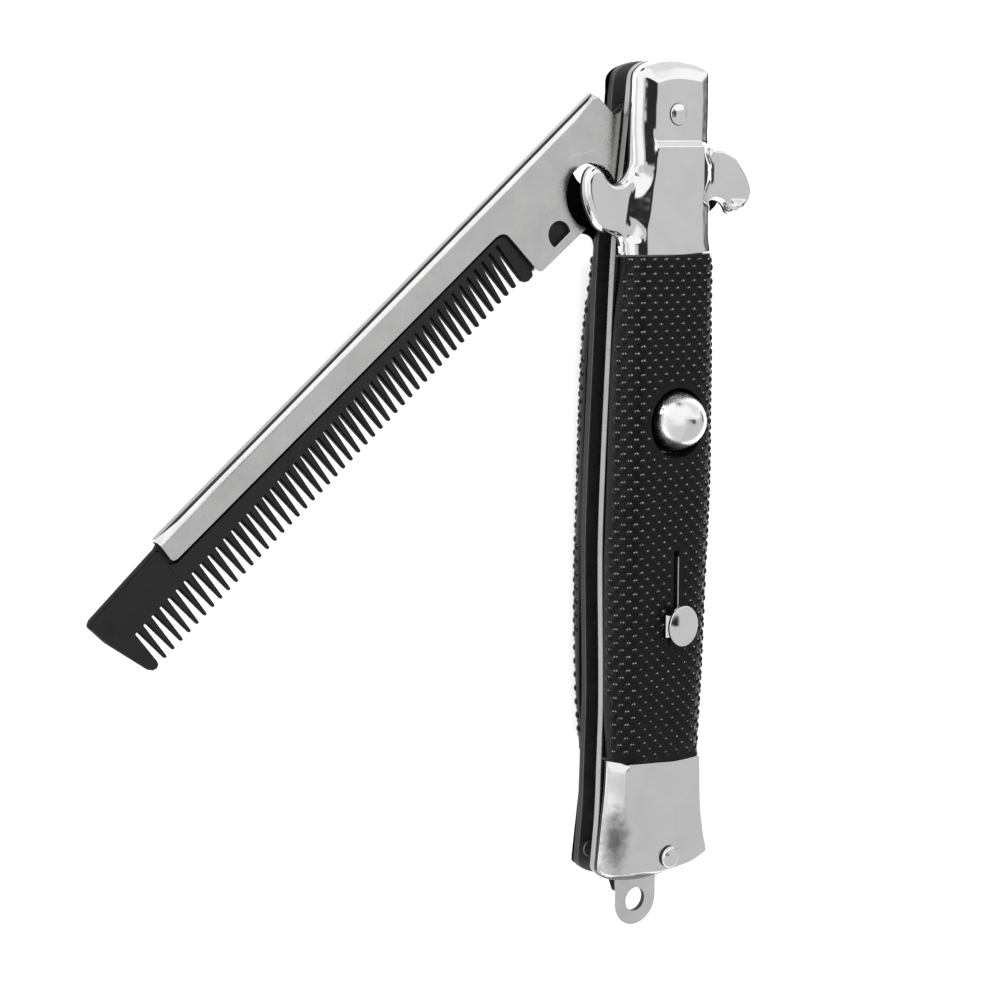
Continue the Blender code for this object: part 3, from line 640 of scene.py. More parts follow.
def chrome_material(name, colour, roughness, wave, reflection_patch=None):
    """Plated metal whose surface waves a little."""
    wiring = new_material(name)
    made, nodes, links, shader, _ = wiring
    shader.inputs["Metallic"].default_value = 1.0
    slow, _ = grained(wiring, colour, roughness, CHROME_GRAIN, CHROME_FINE, reflection_patch)
    add_bump(nodes, links, shader, slow, wave)
    return made


def steel_material(name, colour, roughness):
    """Satin sheet steel with a light mottle."""
    wiring = new_material(name)
    made, nodes, links, shader, _ = wiring
    shader.inputs["Metallic"].default_value = 1.0
    _, fine = grained(wiring, colour, roughness, STEEL_GRAIN, STEEL_FINE)
    add_bump(nodes, links, shader, fine, STEEL_DEPTH)
    return made


def plastic_material(name, colour, roughness, fine_scale, depth, shine):
    """Moulded plastic with a fine grain."""
    wiring = new_material(name)
    made, nodes, links, shader, _ = wiring
    shader.inputs["Specular IOR Level"].default_value = shine
    _, fine = grained(wiring, colour, roughness, PLASTIC_GRAIN, fine_scale)
    add_bump(nodes, links, shader, fine, depth)
    return made


bright_chrome = chrome_material("bright_chrome", (0.88, 0.88, 0.88), 0.07, 0.00008)
# Darker chrome, painted as shade on the front pommel's lower edge.
painted_shade_chrome = chrome_material("painted_shade_chrome", (0.60, 0.60, 0.60), 0.2, 0.00005)
button_chrome = chrome_material("button_chrome", (0.90, 0.90, 0.90), 0.24, 0.00003)
# Dark reflection painted on the front pommel's left side: centre, half sizes and darkness.
POMMEL_REFLECTION_PATCH = ((-9.7, -51.3, LIFT + 4.6), (2.3, 5.2, 3.4), 0.10)
soft_chrome = chrome_material("soft_chrome", (0.82, 0.82, 0.82), 0.15, 0.00006, POMMEL_REFLECTION_PATCH)
satin_steel = steel_material("satin_steel", (0.78, 0.78, 0.775), 0.24)
# Bright steel, painted as highlights on the fold, as the glint in the slot and along the D-hole; also the
# tang's scribed line.
highlight_and_scribe_steel = steel_material("highlight_and_scribe_steel", (0.94, 0.94, 0.94), 0.3)
liner_steel = steel_material("liner_steel", (0.35, 0.35, 0.345), 0.26)
blackened_steel = steel_material("blackened_steel", (0.21, 0.21, 0.21), 0.45)
# Near-black steel, painted as shade: shadow lines at the shells' and rivets' feet, the rear liner's edge,
# the eye hole's wall and lines on the channel's fold.
shadow_line = steel_material("shadow_line", (0.05, 0.05, 0.05), 0.4)
# Near-black, painted as shade on the shells' inner bases, the recess wall, the button's low side and the eye
# root's left side.
painted_shade_dark = steel_material("painted_shade_dark", (0.012, 0.012, 0.012), 0.6)
black_grip = plastic_material("black_grip", (0.009, 0.009, 0.009), 0.22, 4000.0, 0.00002, 0.16)
black_comb = plastic_material("black_comb", (0.026, 0.026, 0.026), 0.45, 2500.0, 0.00001, 0.22)
# Near-black, painted as shade on the walls between the comb's teeth.
painted_shade_walls = plastic_material("painted_shade_walls", (0.004, 0.004, 0.004), 0.5, 2500.0, 0.00001, 0.08)


# Shells of the handle.

left_at = smooth_column(HANDLE_SIDES, 0, 1)
right_at = smooth_column(HANDLE_SIDES, 0, 2)
bolster_end_at = smooth_column(BOLSTER_END, 0, 1)
pommel_start_at = smooth_column(POMMEL_START, 0, 1)
pommel_end_at = smooth_column(POMMEL_END, 0, 1)
front_rim_at = smooth_column(RIM_WIDTHS, 0, 1)
rear_rim_at = smooth_column(RIM_WIDTHS, 0, 2)
rear_lower_at = smooth_column(RIM_WIDTHS, 0, 3)


def ease(share):
    share = np.clip(share, 0.0, 1.0)
    return share * share * (3.0 - 2.0 * share)


def bolster_top(x, y):
    """Face height of a bolster; its step runs out gently toward the left edge."""
    inward = x - left_at(y) - STRIP_END + STEP_FADE_START
    length = STEP_LENGTH + STEP_RUN_OUT * (1.0 - ease(inward / STEP_FADE_WIDTH))
    upper_edge = STEP_Y + STEP_SLANT * x + length / 2
    return BOLSTER_UPPER_TOP + (BOLSTER_LOWER_TOP - BOLSTER_UPPER_TOP) * ease((upper_edge - y) / length)


def grip_top(x, y):
    reach = np.maximum(0.0, np.abs(y - GRIP_MIDDLE_Y) - GRIP_FLAT_HALF) / GRIP_FALL_LENGTH
    return GRIP_CROWN - GRIP_END_DROP * np.minimum(1.0, reach)


def pommel_top(x, y):
    """A level face, given in the shape of x."""
    return POMMEL_TOP + 0.0 * x


# Share of even spacing in a shell's columns of points; the rest packs them toward the edges.
EVEN_SHARE = 0.35


def edge_packed(count):
    """Shares from 0 to 1, packed closer toward both ends."""
    t = np.linspace(0.0, 1.0, count)
    return EVEN_SHARE * t + (1.0 - EVEN_SHARE) * (0.5 - 0.5 * np.cos(math.pi * t))


def grip_start_at(x):
    return pommel_start_at(x) + END_GAP


def grip_end_at(x):
    return bolster_end_at(x) - END_GAP


# Each kind of shell: its lower end, its upper end, whether the lower end is rounded, its top, its fullness.
SHELLS = {
    "grip": (grip_start_at, grip_end_at, False, grip_top, GRIP_FULLNESS),
    "pommel": (pommel_end_at, pommel_start_at, True, pommel_top, POMMEL_FULLNESS),
}


def skin_height(kind, side, x, y, sink=0.0):
    """Height of a shell's skin over the middle plane, before it is mirrored to its side."""
    low_of, _, round_low, top_of, fullness = SHELLS[kind]
    fullness = fullness if side > 0 else REAR_FULLNESS
    radius = front_rim_at(y) if side > 0 else rear_rim_at(y)
    narrow = kind == "pommel" and side > 0
    end_radius = POMMEL_END_RIM if narrow else radius
    right_radius = POMMEL_RIGHT_RIM if narrow else radius
    drop = 0.0 if side > 0 else rear_lower_at(y)
    distances = [x - left_at(y) - sink, (right_at(y) - sink - x) * radius / right_radius]
    if round_low:
        distances.append((y - low_of(x) - sink) * radius / end_radius)
    total = 0.0
    for distance in distances:
        total = total + np.maximum(0.0, 1.0 - np.maximum(0.0, distance) / radius) ** 3
    near = np.minimum(1.0, total ** (1.0 / 3.0))
    share = np.maximum(0.0, 1.0 - near**fullness) ** (1.0 / fullness)
    floor = SHELL_BASE + SHELL_WALL
    return floor + (top_of(x, y) - drop - sink - floor) * share


def shell_points(kind, side, across, along, sink):
    low_of, high_of = SHELLS[kind][0], SHELLS[kind][1]
    u, v = np.meshgrid(edge_packed(across), np.linspace(0.0, 1.0, along))
    nominal = low_of(0.0) * (1.0 - v) + high_of(0.0) * v
    x = (left_at(nominal) + sink) * (1.0 - u) + (right_at(nominal) - sink) * u
    y = low_of(x) * (1.0 - v) + high_of(x) * v
    x = (left_at(y) + sink) * (1.0 - u) + (right_at(y) - sink) * u
    z = skin_height(kind, side, x, y, sink)
    return np.stack([x, y, z], axis=-1)


def shell_mesh(name, kind, side, across, along, sink=0.0):
    """A closed shell: rounded skin, upright walls and a flat base."""
    grid = shell_points(kind, side, across, along, sink)
    points = [tuple(point) for row in grid for point in row]
    faces = []
    for i in range(along - 1):
        for j in range(across - 1):
            a = i * across + j
            faces.append((a, a + 1, a + 1 + across, a + across))
    places = [(0, j) for j in range(across)]
    places += [(i, across - 1) for i in range(1, along)]
    places += [(along - 1, j) for j in range(across - 2, -1, -1)]
    places += [(i, 0) for i in range(along - 2, 0, -1)]
    ring = []
    for i, j in places:
        edge = i * across + j
        x, y, _ = points[edge]
        ring.append((edge, len(points)))
        points.append((x, y, SHELL_BASE))
    for (top_a, low_a), (top_b, low_b) in zip(ring, ring[1:] + ring[:1]):
        faces.append((top_a, top_b, low_b, low_a))
    faces.append(tuple(low for _, low in ring))
    return mesh_from(name, [(x, y, z * side) for x, y, z in points], faces)


def band(y, ramp):
    """1 inside a stretch of the handle, easing to 0 at both ends."""
    return ease((y - ramp[0]) / (ramp[1] - ramp[0])) * ease((ramp[3] - y) / (ramp[3] - ramp[2]))


def soft_ramp(share):
    share = np.clip(share, 0.0, 1.0)
    return (1.0 - RAMP_SOFTNESS) * share + RAMP_SOFTNESS * ease(share)


def distance_to(loop, x, y):
    """Distance from points to a closed outline."""
    ends = np.array(loop)
    starts = np.roll(ends, 1, axis=0)
    along = ends - starts
    length = np.maximum(1e-12, (along**2).sum(axis=1))
    best = np.full(len(x), 1e9)
    for (sx, sy), (ax, ay), squared in zip(starts, along, length):
        share = np.clip(((x - sx) * ax + (y - sy) * ay) / squared, 0.0, 1.0)
        best = np.minimum(best, np.hypot(x - sx - share * ax, y - sy - share * ay))
    return best


def edge_drop(distance, rise):
    """How far a bolster's skin lies below its face, by the distance to its edge."""
    before = np.clip((STRIP_END + STRIP_CORNER - distance) / (2.0 * STRIP_CORNER), 0.0, None)
    corner = np.minimum(before, 1.0) ** 2 * STRIP_CORNER
    strip = STRIP_SLOPE * (corner + np.maximum(0.0, before - 1.0) * 2.0 * STRIP_CORNER)
    foot = STRIP_SLOPE * STRIP_END
    near = 1.0 - np.clip(distance / WALL_WIDTH, 0.0, 1.0)
    return strip + (rise - foot) * (1.0 - np.sqrt(np.maximum(0.0, 1.0 - near**2)))


def bolster_height(side, x, y, distance):
    """Skin of a bolster and its wings over the middle plane, from the distance to their outline."""
    rim = front_rim_at(y) if side > 0 else rear_rim_at(y)
    drop = 0.0 if side > 0 else rear_lower_at(y)
    face = bolster_top(x, y) - drop
    low_left = band(y, LEFT_RAMP) * (1.0 - soft_ramp((x - left_at(y) + RAMP_OUT) / RAMP_WIDTH))
    low_right = band(y, RIGHT_RAMP) * (1.0 - soft_ramp((right_at(y) + RAMP_OUT - x) / RAMP_WIDTH))
    low = np.maximum(low_left, low_right)
    face = face - (face - WING_TOP) * low
    out_left = band(y, LEFT_RAMP) * ease((left_at(y) + WING_EASE_INSIDE - x) / WING_EASE_WIDTH)
    out_right = band(y, RIGHT_RAMP) * ease((x - right_at(y) + WING_EASE_INSIDE) / WING_EASE_WIDTH)
    out = np.maximum(out_left, out_right)
    rim = rim + (WING_ROUND - rim) * out
    near = 1.0 - np.clip(distance / rim, 0.0, 1.0)
    floor = SHELL_BASE + SHELL_WALL
    rounded = floor + (face - floor) * np.sqrt(np.maximum(0.0, 1.0 - near**2))
    if side < 0:
        return rounded
    slanted = np.maximum(floor, face - edge_drop(distance, face - floor))
    return slanted + (rounded - slanted) * out


# Spacing of the points in a bolster's skin, and how far the rows along its edge lie inside it.
SKIN_STEP = 0.2
EDGE_OFFSETS = (0.012, 0.04, 0.09, 0.16, 0.26, 0.4)
# Share of that distance that a point has to keep from every other part of the edge.
OFFSET_KEPT = 0.9
# Space between the last row and the even grid, and the grid's reach.
GRID_CLEARANCE = 0.1
GRID_X = (-16.0, 16.0)
GRID_Y = (35.0, 64.5)
# Number of points along a bolster's lower end.
END_POINTS = 60
# Corners far below, which stand in for that end where it must not be rounded.
OPEN_END = ((-8.6, 25.0), (7.8, 25.0))
# Points closer than this become one.
JOIN_GAP = 0.0001
# A front shell's low wall: how far its normals may rise, and the share of its height that is painted dark as
# a shadow line.
WALL_STEEP = 0.2
WALL_SHADOW_SHARE = 0.6
# Heights closer than this, in metres, are the same.
SAME_HEIGHT = 0.00001


def inset_points(loop):
    """Points just inside an outline, in rows that follow its edge."""
    ends = np.array(loop)
    ahead = np.roll(ends, -1, axis=0) - np.roll(ends, 1, axis=0)
    length = np.maximum(1e-9, np.hypot(ahead[:, 0], ahead[:, 1]))
    inward = np.stack([-ahead[:, 1], ahead[:, 0]], axis=1) / length[:, None]
    rows = []
    for offset in EDGE_OFFSETS:
        row = ends + inward * offset
        clear = distance_to(loop, row[:, 0], row[:, 1]) > offset * OFFSET_KEPT
        rows.append(row[clear])
    return np.concatenate(rows)


def inside(loop, x, y):
    """Whether points lie inside a closed outline."""
    result = np.zeros(len(x), bool)
    for (ax, ay), (bx, by) in zip(loop, loop[1:] + loop[:1]):
        if ay == by:
            continue
        crosses = (ay > y) != (by > y)
        result ^= crosses & (x < (bx - ax) * (y - ay) / (by - ay) + ax)
    return result


def at_foot(face):
    """Whether a face belongs to the low upright wall that a front shell stands on."""
    height = face.center.z / MM - LIFT
    shadow_top = SHELL_BASE + WALL_SHADOW_SHARE * SHELL_WALL
    return abs(face.normal.z) < WALL_STEEP and SHELL_BASE < height < shadow_top


def make_bolster(word, side):
    """Bolster and wings as one drawn shell, from one outline and one height for every place."""
    end_x = np.linspace(BOLSTER_END[0][0], BOLSTER_END[-1][0], END_POINTS)[1:-1]
    lower = [(float(x), float(bolster_end_at(x))) for x in end_x]
    loop = smooth_loop(list(BOLSTER_OUTLINE) + lower + list(BOLSTER_RIGHT), SKIN_STEP)
    rims = smooth_loop(list(BOLSTER_OUTLINE) + list(OPEN_END) + list(BOLSTER_RIGHT), SKIN_STEP)
    grid = np.meshgrid(np.arange(*GRID_X, SKIN_STEP), np.arange(*GRID_Y, SKIN_STEP))
    grid_x, grid_y = (part.ravel() for part in grid)
    clear = distance_to(loop, grid_x, grid_y) > EDGE_OFFSETS[-1] + GRID_CLEARANCE
    keep = inside(loop, grid_x, grid_y) & clear
    inner = np.stack([grid_x[keep], grid_y[keep]], axis=1)
    flat = [Vector(point) for part in (loop, inset_points(loop), inner) for point in part]
    places, _, triangles, *_ = delaunay_2d_cdt(flat, [], [list(range(len(loop)))], 1, JOIN_GAP)
    x = np.array([point.x for point in places])
    y = np.array([point.y for point in places])
    z = bolster_height(side, x, y, distance_to(rims, x, y))
    points = [(a, b, c * side) for a, b, c in zip(x, y, z)]
    faces = [tuple(face) for face in triangles]
    edge_use = {}
    for face in faces:
        for a, b in zip(face, face[1:] + face[:1]):
            key = (min(a, b), max(a, b))
            edge_use[key] = edge_use.get(key, 0) + 1
    lowered = {}
    rim = [key for key, uses in edge_use.items() if uses == 1]
    for key in rim:
        for index in key:
            if index not in lowered:
                lowered[index] = len(points)
                points.append((x[index], y[index], SHELL_BASE * side))
    faces += [(a, b, lowered[b], lowered[a]) for a, b in rim]
    faces += [tuple(lowered[index] for index in face) for face in base_faces(loop, lowered, x, y)]
    piece = add_object(word + "_bolster_shell", mesh_from(word, points, faces))
    shade(piece, 50.0)
    finish_piece(piece, bright_chrome, "handle", word + "_bolster")
    # The base that faces the blade gap is painted dark as shade, and the front shell's low wall as a shadow
    # line.
    inner_height = (LIFT + SHELL_BASE * side) * MM
    mark_faces(piece, painted_shade_dark, lambda face: abs(face.center.z - inner_height) < SAME_HEIGHT)
    if side > 0:
        mark_faces(piece, shadow_line, at_foot)


def base_faces(loop, lowered, x, y):
    """Flat triangles that close a shell's base, between its lowered edge points."""
    order = sorted(lowered, key=lambda index: nearest_place(loop, x[index], y[index]))
    corners = [Vector((x[index], y[index])) for index in order]
    made = delaunay_2d_cdt(corners, [], [list(range(len(order)))], 1, JOIN_GAP)
    _, _, triangles, sources, *_ = made
    origins = [source[0] for source in sources]
    return [tuple(order[origins[index]] for index in face) for face in triangles]


def nearest_place(loop, x, y):
    gaps = [(px - x) ** 2 + (py - y) ** 2 for px, py in loop]
    return gaps.index(min(gaps))


def dot_mesh():
    """A low round dot: a cap of a ball, with its foot a little inside the skin."""
    sides = 12
    steps = 5
    steep = math.radians(DOT_SLOPE_DEG)
    points = []
    faces = []
    for step in range(steps):
        slope = steep * (1.0 - step / steps)
        radius = DOT_RADIUS * math.sin(slope) / math.sin(steep)
        height = DOT_RISE * (math.cos(slope) - math.cos(steep)) / (1.0 - math.cos(steep))
        if step == 0:
            height = DOT_FOOT
        for x, y in circle((0.0, 0.0), radius, sides):
            points.append((x, y, height))
    points.append((0.0, 0.0, DOT_RISE))
    for step in range(steps - 1):
        for k in range(sides):
            j = (k + 1) % sides
            a = step * sides
            faces.append((a + k, a + j, a + sides + j, a + sides + k))
    last = (steps - 1) * sides
    for k in range(sides):
        faces.append((last + k, last + (k + 1) % sides, len(points) - 1))
    return points, faces


def row_places(side, y, shift):
    """Places across the grip at even steps along its skin."""
    low, high = left_at(y) + SKIN_SINK + ROW_MARGIN, right_at(y) - SKIN_SINK - ROW_MARGIN
    x = np.linspace(low, high, ROW_SAMPLES)
    z = skin_height("grip", side, x, y + 0.0 * x, SKIN_SINK)
    run = np.concatenate([[0.0], np.cumsum(np.hypot(np.diff(x), np.diff(z)))])
    run -= np.interp(0.0, x, run)
    first = math.ceil((run[0] - shift) / DOT_PITCH_X)
    last = math.floor((run[-1] - shift) / DOT_PITCH_X)
    return [float(np.interp(shift + k * DOT_PITCH_X, run, x)) for k in range(first, last + 1)]


def dot_spots(side):
    """Places of the dots on a grip: points of the skin and their outward directions."""
    spots = []
    step = 0.02
    low_of, high_of = SHELLS["grip"][0], SHELLS["grip"][1]
    for row in DOT_ROWS:
        y = DOT_FIRST_Y - row * DOT_ROW
        shift = DOT_FIRST_X + (0.0 if row % 2 == 0 else DOT_PITCH_X / 2)
        for x in row_places(side, y, shift):
            if not low_of(x) + DOT_MARGIN < y < high_of(x) - DOT_MARGIN:
                continue
            if side > 0 and math.hypot(x, y - RECESS_Y) < RECESS_RADIUS + DOT_MARGIN:
                continue
            beside = abs(x) < SLOT_HALF_X + DOT_MARGIN
            if side > 0 and beside and SLOT_END_Y - DOT_MARGIN < y < SLOT_TOP_Y + DOT_MARGIN:
                continue
            z = float(skin_height("grip", side, x, y, SKIN_SINK))
            slope_x = float(skin_height("grip", side, x + step, y, SKIN_SINK)) - z
            slope_y = float(skin_height("grip", side, x, y + step, SKIN_SINK)) - z
            spots.append((Vector((x, y, z)), Vector((-slope_x / step, -slope_y / step, 1.0)).normalized()))
    return spots


def make_dots(word, side):
    dot_points, dot_faces = dot_mesh()
    points = []
    faces = []
    for spot, outward in dot_spots(side):
        turn = outward.to_track_quat("Z", "Y")
        start = len(points)
        for point in dot_points:
            x, y, z = spot + turn @ Vector(point)
            points.append((x, y, z * side))
        for face in dot_faces:
            faces.append(tuple(start + index for index in face))
    mesh = bpy.data.meshes.new(word + "_grip_dots")
    mesh.from_pydata(points, [], faces)
    if side < 0:
        mesh.flip_normals()
    piece = add_object(word + "_grip_dots", mesh)
    shade(piece, 60.0)
    finish_piece(piece, black_grip, "handle")


# Limits for the faces of round walls: how far a normal may rise, and how far out a face may lie.
RECESS_STEEP = 0.3
EYE_STEEP = 0.5
HOLE_MARGIN = 0.1


def in_hole(face, centre, radius, steep):
    """Whether a face is part of the upright wall of a round hole."""
    reach = math.hypot(face.center.x / MM - centre[0], face.center.y / MM - centre[1])
    return abs(face.normal.z) < steep and reach < radius + HOLE_MARGIN


# Heights between which the recess and the slot are cut out of the grip.
CUT_REACH = (SHELL_BASE - 1.0, 20.0)


def make_grip(word, side):
    piece = add_object(word + "_grip_skin", shell_mesh(word, "grip", side, 70, 240, SKIN_SINK))
    if side > 0:
        recess = plate("recess", [circle((0.0, RECESS_Y), RECESS_RADIUS, 96)], *CUT_REACH)
        cut(piece, add_object("recess", recess), "DIFFERENCE")
        corners = [
            (-SLOT_HALF_X, SLOT_END_Y),
            (SLOT_HALF_X, SLOT_END_Y),
            (SLOT_HALF_X, SLOT_TOP_Y),
            (-SLOT_HALF_X, SLOT_TOP_Y),
        ]
        cut(piece, add_object("slot", plate("slot", [corners], *CUT_REACH)), "DIFFERENCE")
    shade(piece, 40.0)
    finish_piece(piece, black_grip, "handle", word + "_grip")
    if side > 0:
        # The recess's wall is painted dark as shade.
        centre = (0.0, RECESS_Y)
        mark_faces(piece, painted_shade_dark, lambda face: in_hole(face, centre, RECESS_RADIUS, RECESS_STEEP))
    make_dots(word, side)


# Limits for the pommel's lower edge, painted darker as shade: its normals turn this far toward the eye, and
# rise.
POMMEL_EDGE_TURN = -0.35
POMMEL_EDGE_RISE = 0.05


def at_lower_edge(face):
    return face.normal.y < POMMEL_EDGE_TURN and face.normal.z > POMMEL_EDGE_RISE


def make_pommel(word, side):
    piece = add_object(word + "_pommel_shell", shell_mesh(word, "pommel", side, 110, 130))
    shade(piece, 40.0)
    finish_piece(piece, soft_chrome, "handle", word + "_pommel")
    if side > 0:
        # The lower edge is painted darker as shade, and the low wall as a shadow line.
        mark_faces(piece, painted_shade_chrome, at_lower_edge)
        mark_faces(piece, shadow_line, at_foot)


# Spacing of the points in a liner's outline, and the rounding of its edges.
LINER_STEP = 0.6
LINER_BEVEL = 0.1
# Faces of the rear liner whose normals rise less than this are its edge, painted dark as shade.
LINER_EDGE_STEEP = 0.5
# Low stud on the rear liner: its place, and its profile of (radius, height) points.
STUD = (-9.75, -54.45)
STUD_PROFILE = ((0.0, -2.0), (1.3, -2.0), (1.3, -1.4), (1.15, -1.27), (0.0, -1.25))


def make_liner(word, side, look):
    low, high = sorted((INNER_FACE * side, LINER_OUTER * side))
    holes = [circle(PIVOT, RIVET_RADIUS + END_GAP, 48), circle(BUTT, BUTT_SHANK_RADIUS + END_GAP, 48)]
    outlines = [smooth_loop(LINER_OUTLINE, LINER_STEP)] + holes
    piece = add_object(word + "_liner_plate", plate(word, outlines, low, high, LINER_BEVEL))
    if side < 0:
        cut(piece, add_object("stud", turned("stud", STUD_PROFILE, STUD, 40)), "UNION")
    shade(piece, 40.0)
    level_faces(piece)
    finish_piece(piece, look, "handle", word + "_liner")
    if side < 0:
        mark_faces(piece, shadow_line, lambda face: abs(face.normal.z) < LINER_EDGE_STEEP)


def make_side(word, side, liner_look):
    make_bolster(word, side)
    make_grip(word, side)
    make_pommel(word, side)
    make_liner(word, side, liner_look)


make_side("front", 1, liner_steel)
make_side("rear", -1, blackened_steel)


# Rivets, button and lock slide.


# Steps in a quarter turn of a head's rounded rim and of a full dome.
RIM_STEPS = 6
DOME_STEPS = 30


def rounded_head(radius, rise_round, top, crown):
    """Profile of a rounded head from its side up to its middle."""
    profile = []
    for step in range(RIM_STEPS + 1):
        angle = math.radians(90.0 * step / RIM_STEPS)
        across = radius - rise_round * (1.0 - math.cos(angle))
        height = top - crown - rise_round * (1.0 - math.sin(angle))
        profile.append((across, height))
    inner = radius - rise_round
    for share in (0.8, 0.6, 0.4, 0.2):
        profile.append((inner * share, top - crown * share**2))
    profile.append((0.0, top))
    return profile


def domed_head(radius, height, top, fullness):
    """Profile of a full dome from its side up to its middle."""
    profile = []
    for step in range(DOME_STEPS):
        angle = math.radians(90.0 * step / DOME_STEPS)
        across = math.cos(angle) ** (2.0 / fullness)
        up = math.sin(angle) ** (2.0 / fullness)
        profile.append((radius * across, top - height + height * up))
    profile.append((0.0, top))
    return profile


# Rounding of the rim of a rivet's head, and rise of its middle: in front and behind.
HEAD_ROUND = 0.45
HEAD_CROWN = 0.2
REAR_HEAD_ROUND = 0.3
REAR_HEAD_CROWN = 0.08
# Half the length of a rivet's shank, and how much thinner the pivot's shank is than its head.
SHANK_HALF = 3.6
SHANK_GAP = 0.01
# Faces whose normal rises less than this form the foot of a head, painted dark as shade.
PIVOT_FOOT_STEEP = 0.7
BUTT_FOOT_STEEP = 0.1


def make_rivet(name, node, centre, front_top, rear_top, shank, foot_steep):
    """A rivet with two rounded heads; the steep foot of the front one is painted dark as shade."""
    upper = rounded_head(RIVET_RADIUS, HEAD_ROUND, front_top, HEAD_CROWN)
    rear = rounded_head(RIVET_RADIUS, REAR_HEAD_ROUND, rear_top, REAR_HEAD_CROWN)
    profile = [(radius, -height) for radius, height in reversed(rear)]
    profile += [(RIVET_RADIUS, -SHANK_HALF), (shank, -SHANK_HALF)]
    profile += [(shank, SHANK_HALF), (RIVET_RADIUS, SHANK_HALF)]
    profile += upper
    piece = add_object(name, turned(name, profile, centre, 72))
    shade(piece, 40.0)
    finish_piece(piece, bright_chrome, "handle", node)
    middle = LIFT * MM
    mark_faces(piece, shadow_line, lambda face: abs(face.normal.z) < foot_steep and face.center.z > middle)


make_rivet(
    "pivot_rivet_turned",
    "pivot_rivet",
    PIVOT,
    BOLSTER_UPPER_TOP + PIVOT_HEAD_RISE,
    BOLSTER_UPPER_TOP - float(rear_lower_at(PIVOT[1])) + REAR_HEAD_RISE,
    RIVET_RADIUS - SHANK_GAP,
    PIVOT_FOOT_STEEP,
)
make_rivet(
    "butt_rivet_turned",
    "butt_rivet",
    BUTT,
    POMMEL_TOP + BUTT_HEAD_RISE,
    POMMEL_TOP - float(rear_lower_at(BUTT[1])) + REAR_HEAD_RISE,
    BUTT_SHANK_RADIUS,
    BUTT_FOOT_STEEP,
)

button_profile = [(0.0, BUTTON_BOTTOM), (FLANGE_RADIUS, BUTTON_BOTTOM)]
button_profile += [(FLANGE_RADIUS, FLANGE_TOP), (BUTTON_RADIUS, FLANGE_TOP)]
button_profile += domed_head(BUTTON_RADIUS, BUTTON_DOME, BUTTON_TOP, BUTTON_FULLNESS)
button_mesh = turned("release_button", button_profile, (0.0, BUTTON_Y), 120)
button = add_object("release_button_turned", button_mesh)
shade(button, 40.0)
finish_piece(button, button_chrome, "button", "release_button")
# The button's side is painted dark as shade up to this height over its flange.
BUTTON_SHADE_RISE = 1.0
mark_faces(button, painted_shade_dark, lambda face: face.center.z < (LIFT + FLANGE_TOP + BUTTON_SHADE_RISE) * MM)

# Rise of the knob's middle, how far that goes past the solid's top, and rounding of its rim.
KNOB_CROWN = 0.5
KNOB_RAISE = 0.25
KNOB_ROUND = 0.15
knob_profile = [(0.0, KNOB_UNDER), (KNOB_RADIUS - KNOB_ROUND, KNOB_UNDER)]
knob_profile += [(KNOB_RADIUS, KNOB_UNDER + KNOB_ROUND)]
knob_profile += rounded_head(KNOB_RADIUS, KNOB_ROUND, KNOB_TOP + KNOB_RAISE, KNOB_CROWN)
knob_mesh = turned("lock_slide", knob_profile, (0.0, 0.0), 96)
knob_mesh.transform(Matrix.Translation((0.0, KNOB_Y, 0.0)) @ Matrix.Diagonal((KNOB_NARROW, 1.0, 1.0, 1.0)))
lock_slide = add_object("lock_slide_knob", knob_mesh)


def block(name, half_x, half_y, low, high, bevel):
    corners = [(sx * half_x, sy * half_y + KNOB_Y) for sx, sy in SQUARE]
    return plate(name, [corners], low, high, bevel)


# The neck flares outward toward its foot: half sizes across and along at the foot and under the knob.
NECK_FOOT = (2.35, 1.7)
NECK_HEAD = (1.7, 1.5)
# How far the neck reaches into the knob, and the tongue into the neck.
NECK_OVERLAP = 0.35
TONGUE_OVERLAP = 0.2


def neck_mesh():
    points = []
    for (half_x, half_y), height in ((NECK_FOOT, NECK_LOW), (NECK_HEAD, KNOB_UNDER + NECK_OVERLAP)):
        for sx, sy in SQUARE:
            points.append((sx * half_x, KNOB_Y + sy * half_y, height))
    sides = [(i, (i + 1) % 4, 4 + (i + 1) % 4, 4 + i) for i in range(4)]
    return mesh_from("neck", points, [(0, 1, 2, 3), (4, 5, 6, 7)] + sides)


cut(lock_slide, add_object("neck", neck_mesh()), "UNION")
tongue = block("tongue", TONGUE_HALF_X, NECK_HALF_Y, TONGUE_LOW, NECK_LOW + TONGUE_OVERLAP, 0.0)
cut(lock_slide, add_object("tongue", tongue), "UNION")
shade(lock_slide, 35.0)
finish_piece(lock_slide, bright_chrome, "slide", "lock_slide")

# Bright strip standing in the slot beside the tongue, a painted glint of the slot's wall: from and to x,
# from and to y, from and to height.
SLOT_GLINT = ((0.29, 0.42), (-21.6, -9.1), (3.3, 6.62))
(strip_left, strip_right), (strip_low, strip_high), strip_heights = SLOT_GLINT
strip_corners = [(strip_left, strip_low), (strip_right, strip_low)]
strip_corners += [(strip_right, strip_high), (strip_left, strip_high)]
slot_strip = add_object("slot_strip", plate("slot_strip", [strip_corners], *strip_heights))
shade(slot_strip, 30.0)
finish_piece(slot_strip, highlight_and_scribe_steel, "handle")


# Split-ring eye.


# Half the width of the eye's root, how far below its top the flat plate ends, and half the depth
# of its thin end.
EYE_ROOT_HALF = 4.1
EYE_ROOT_LAP = 0.3
EYE_ROOT_THIN = EYE_HALF * 0.6
# Faces whose normal turns this far to the left are the root's left side, painted dark as shade.
EYE_LEFT_SIDE = -0.9


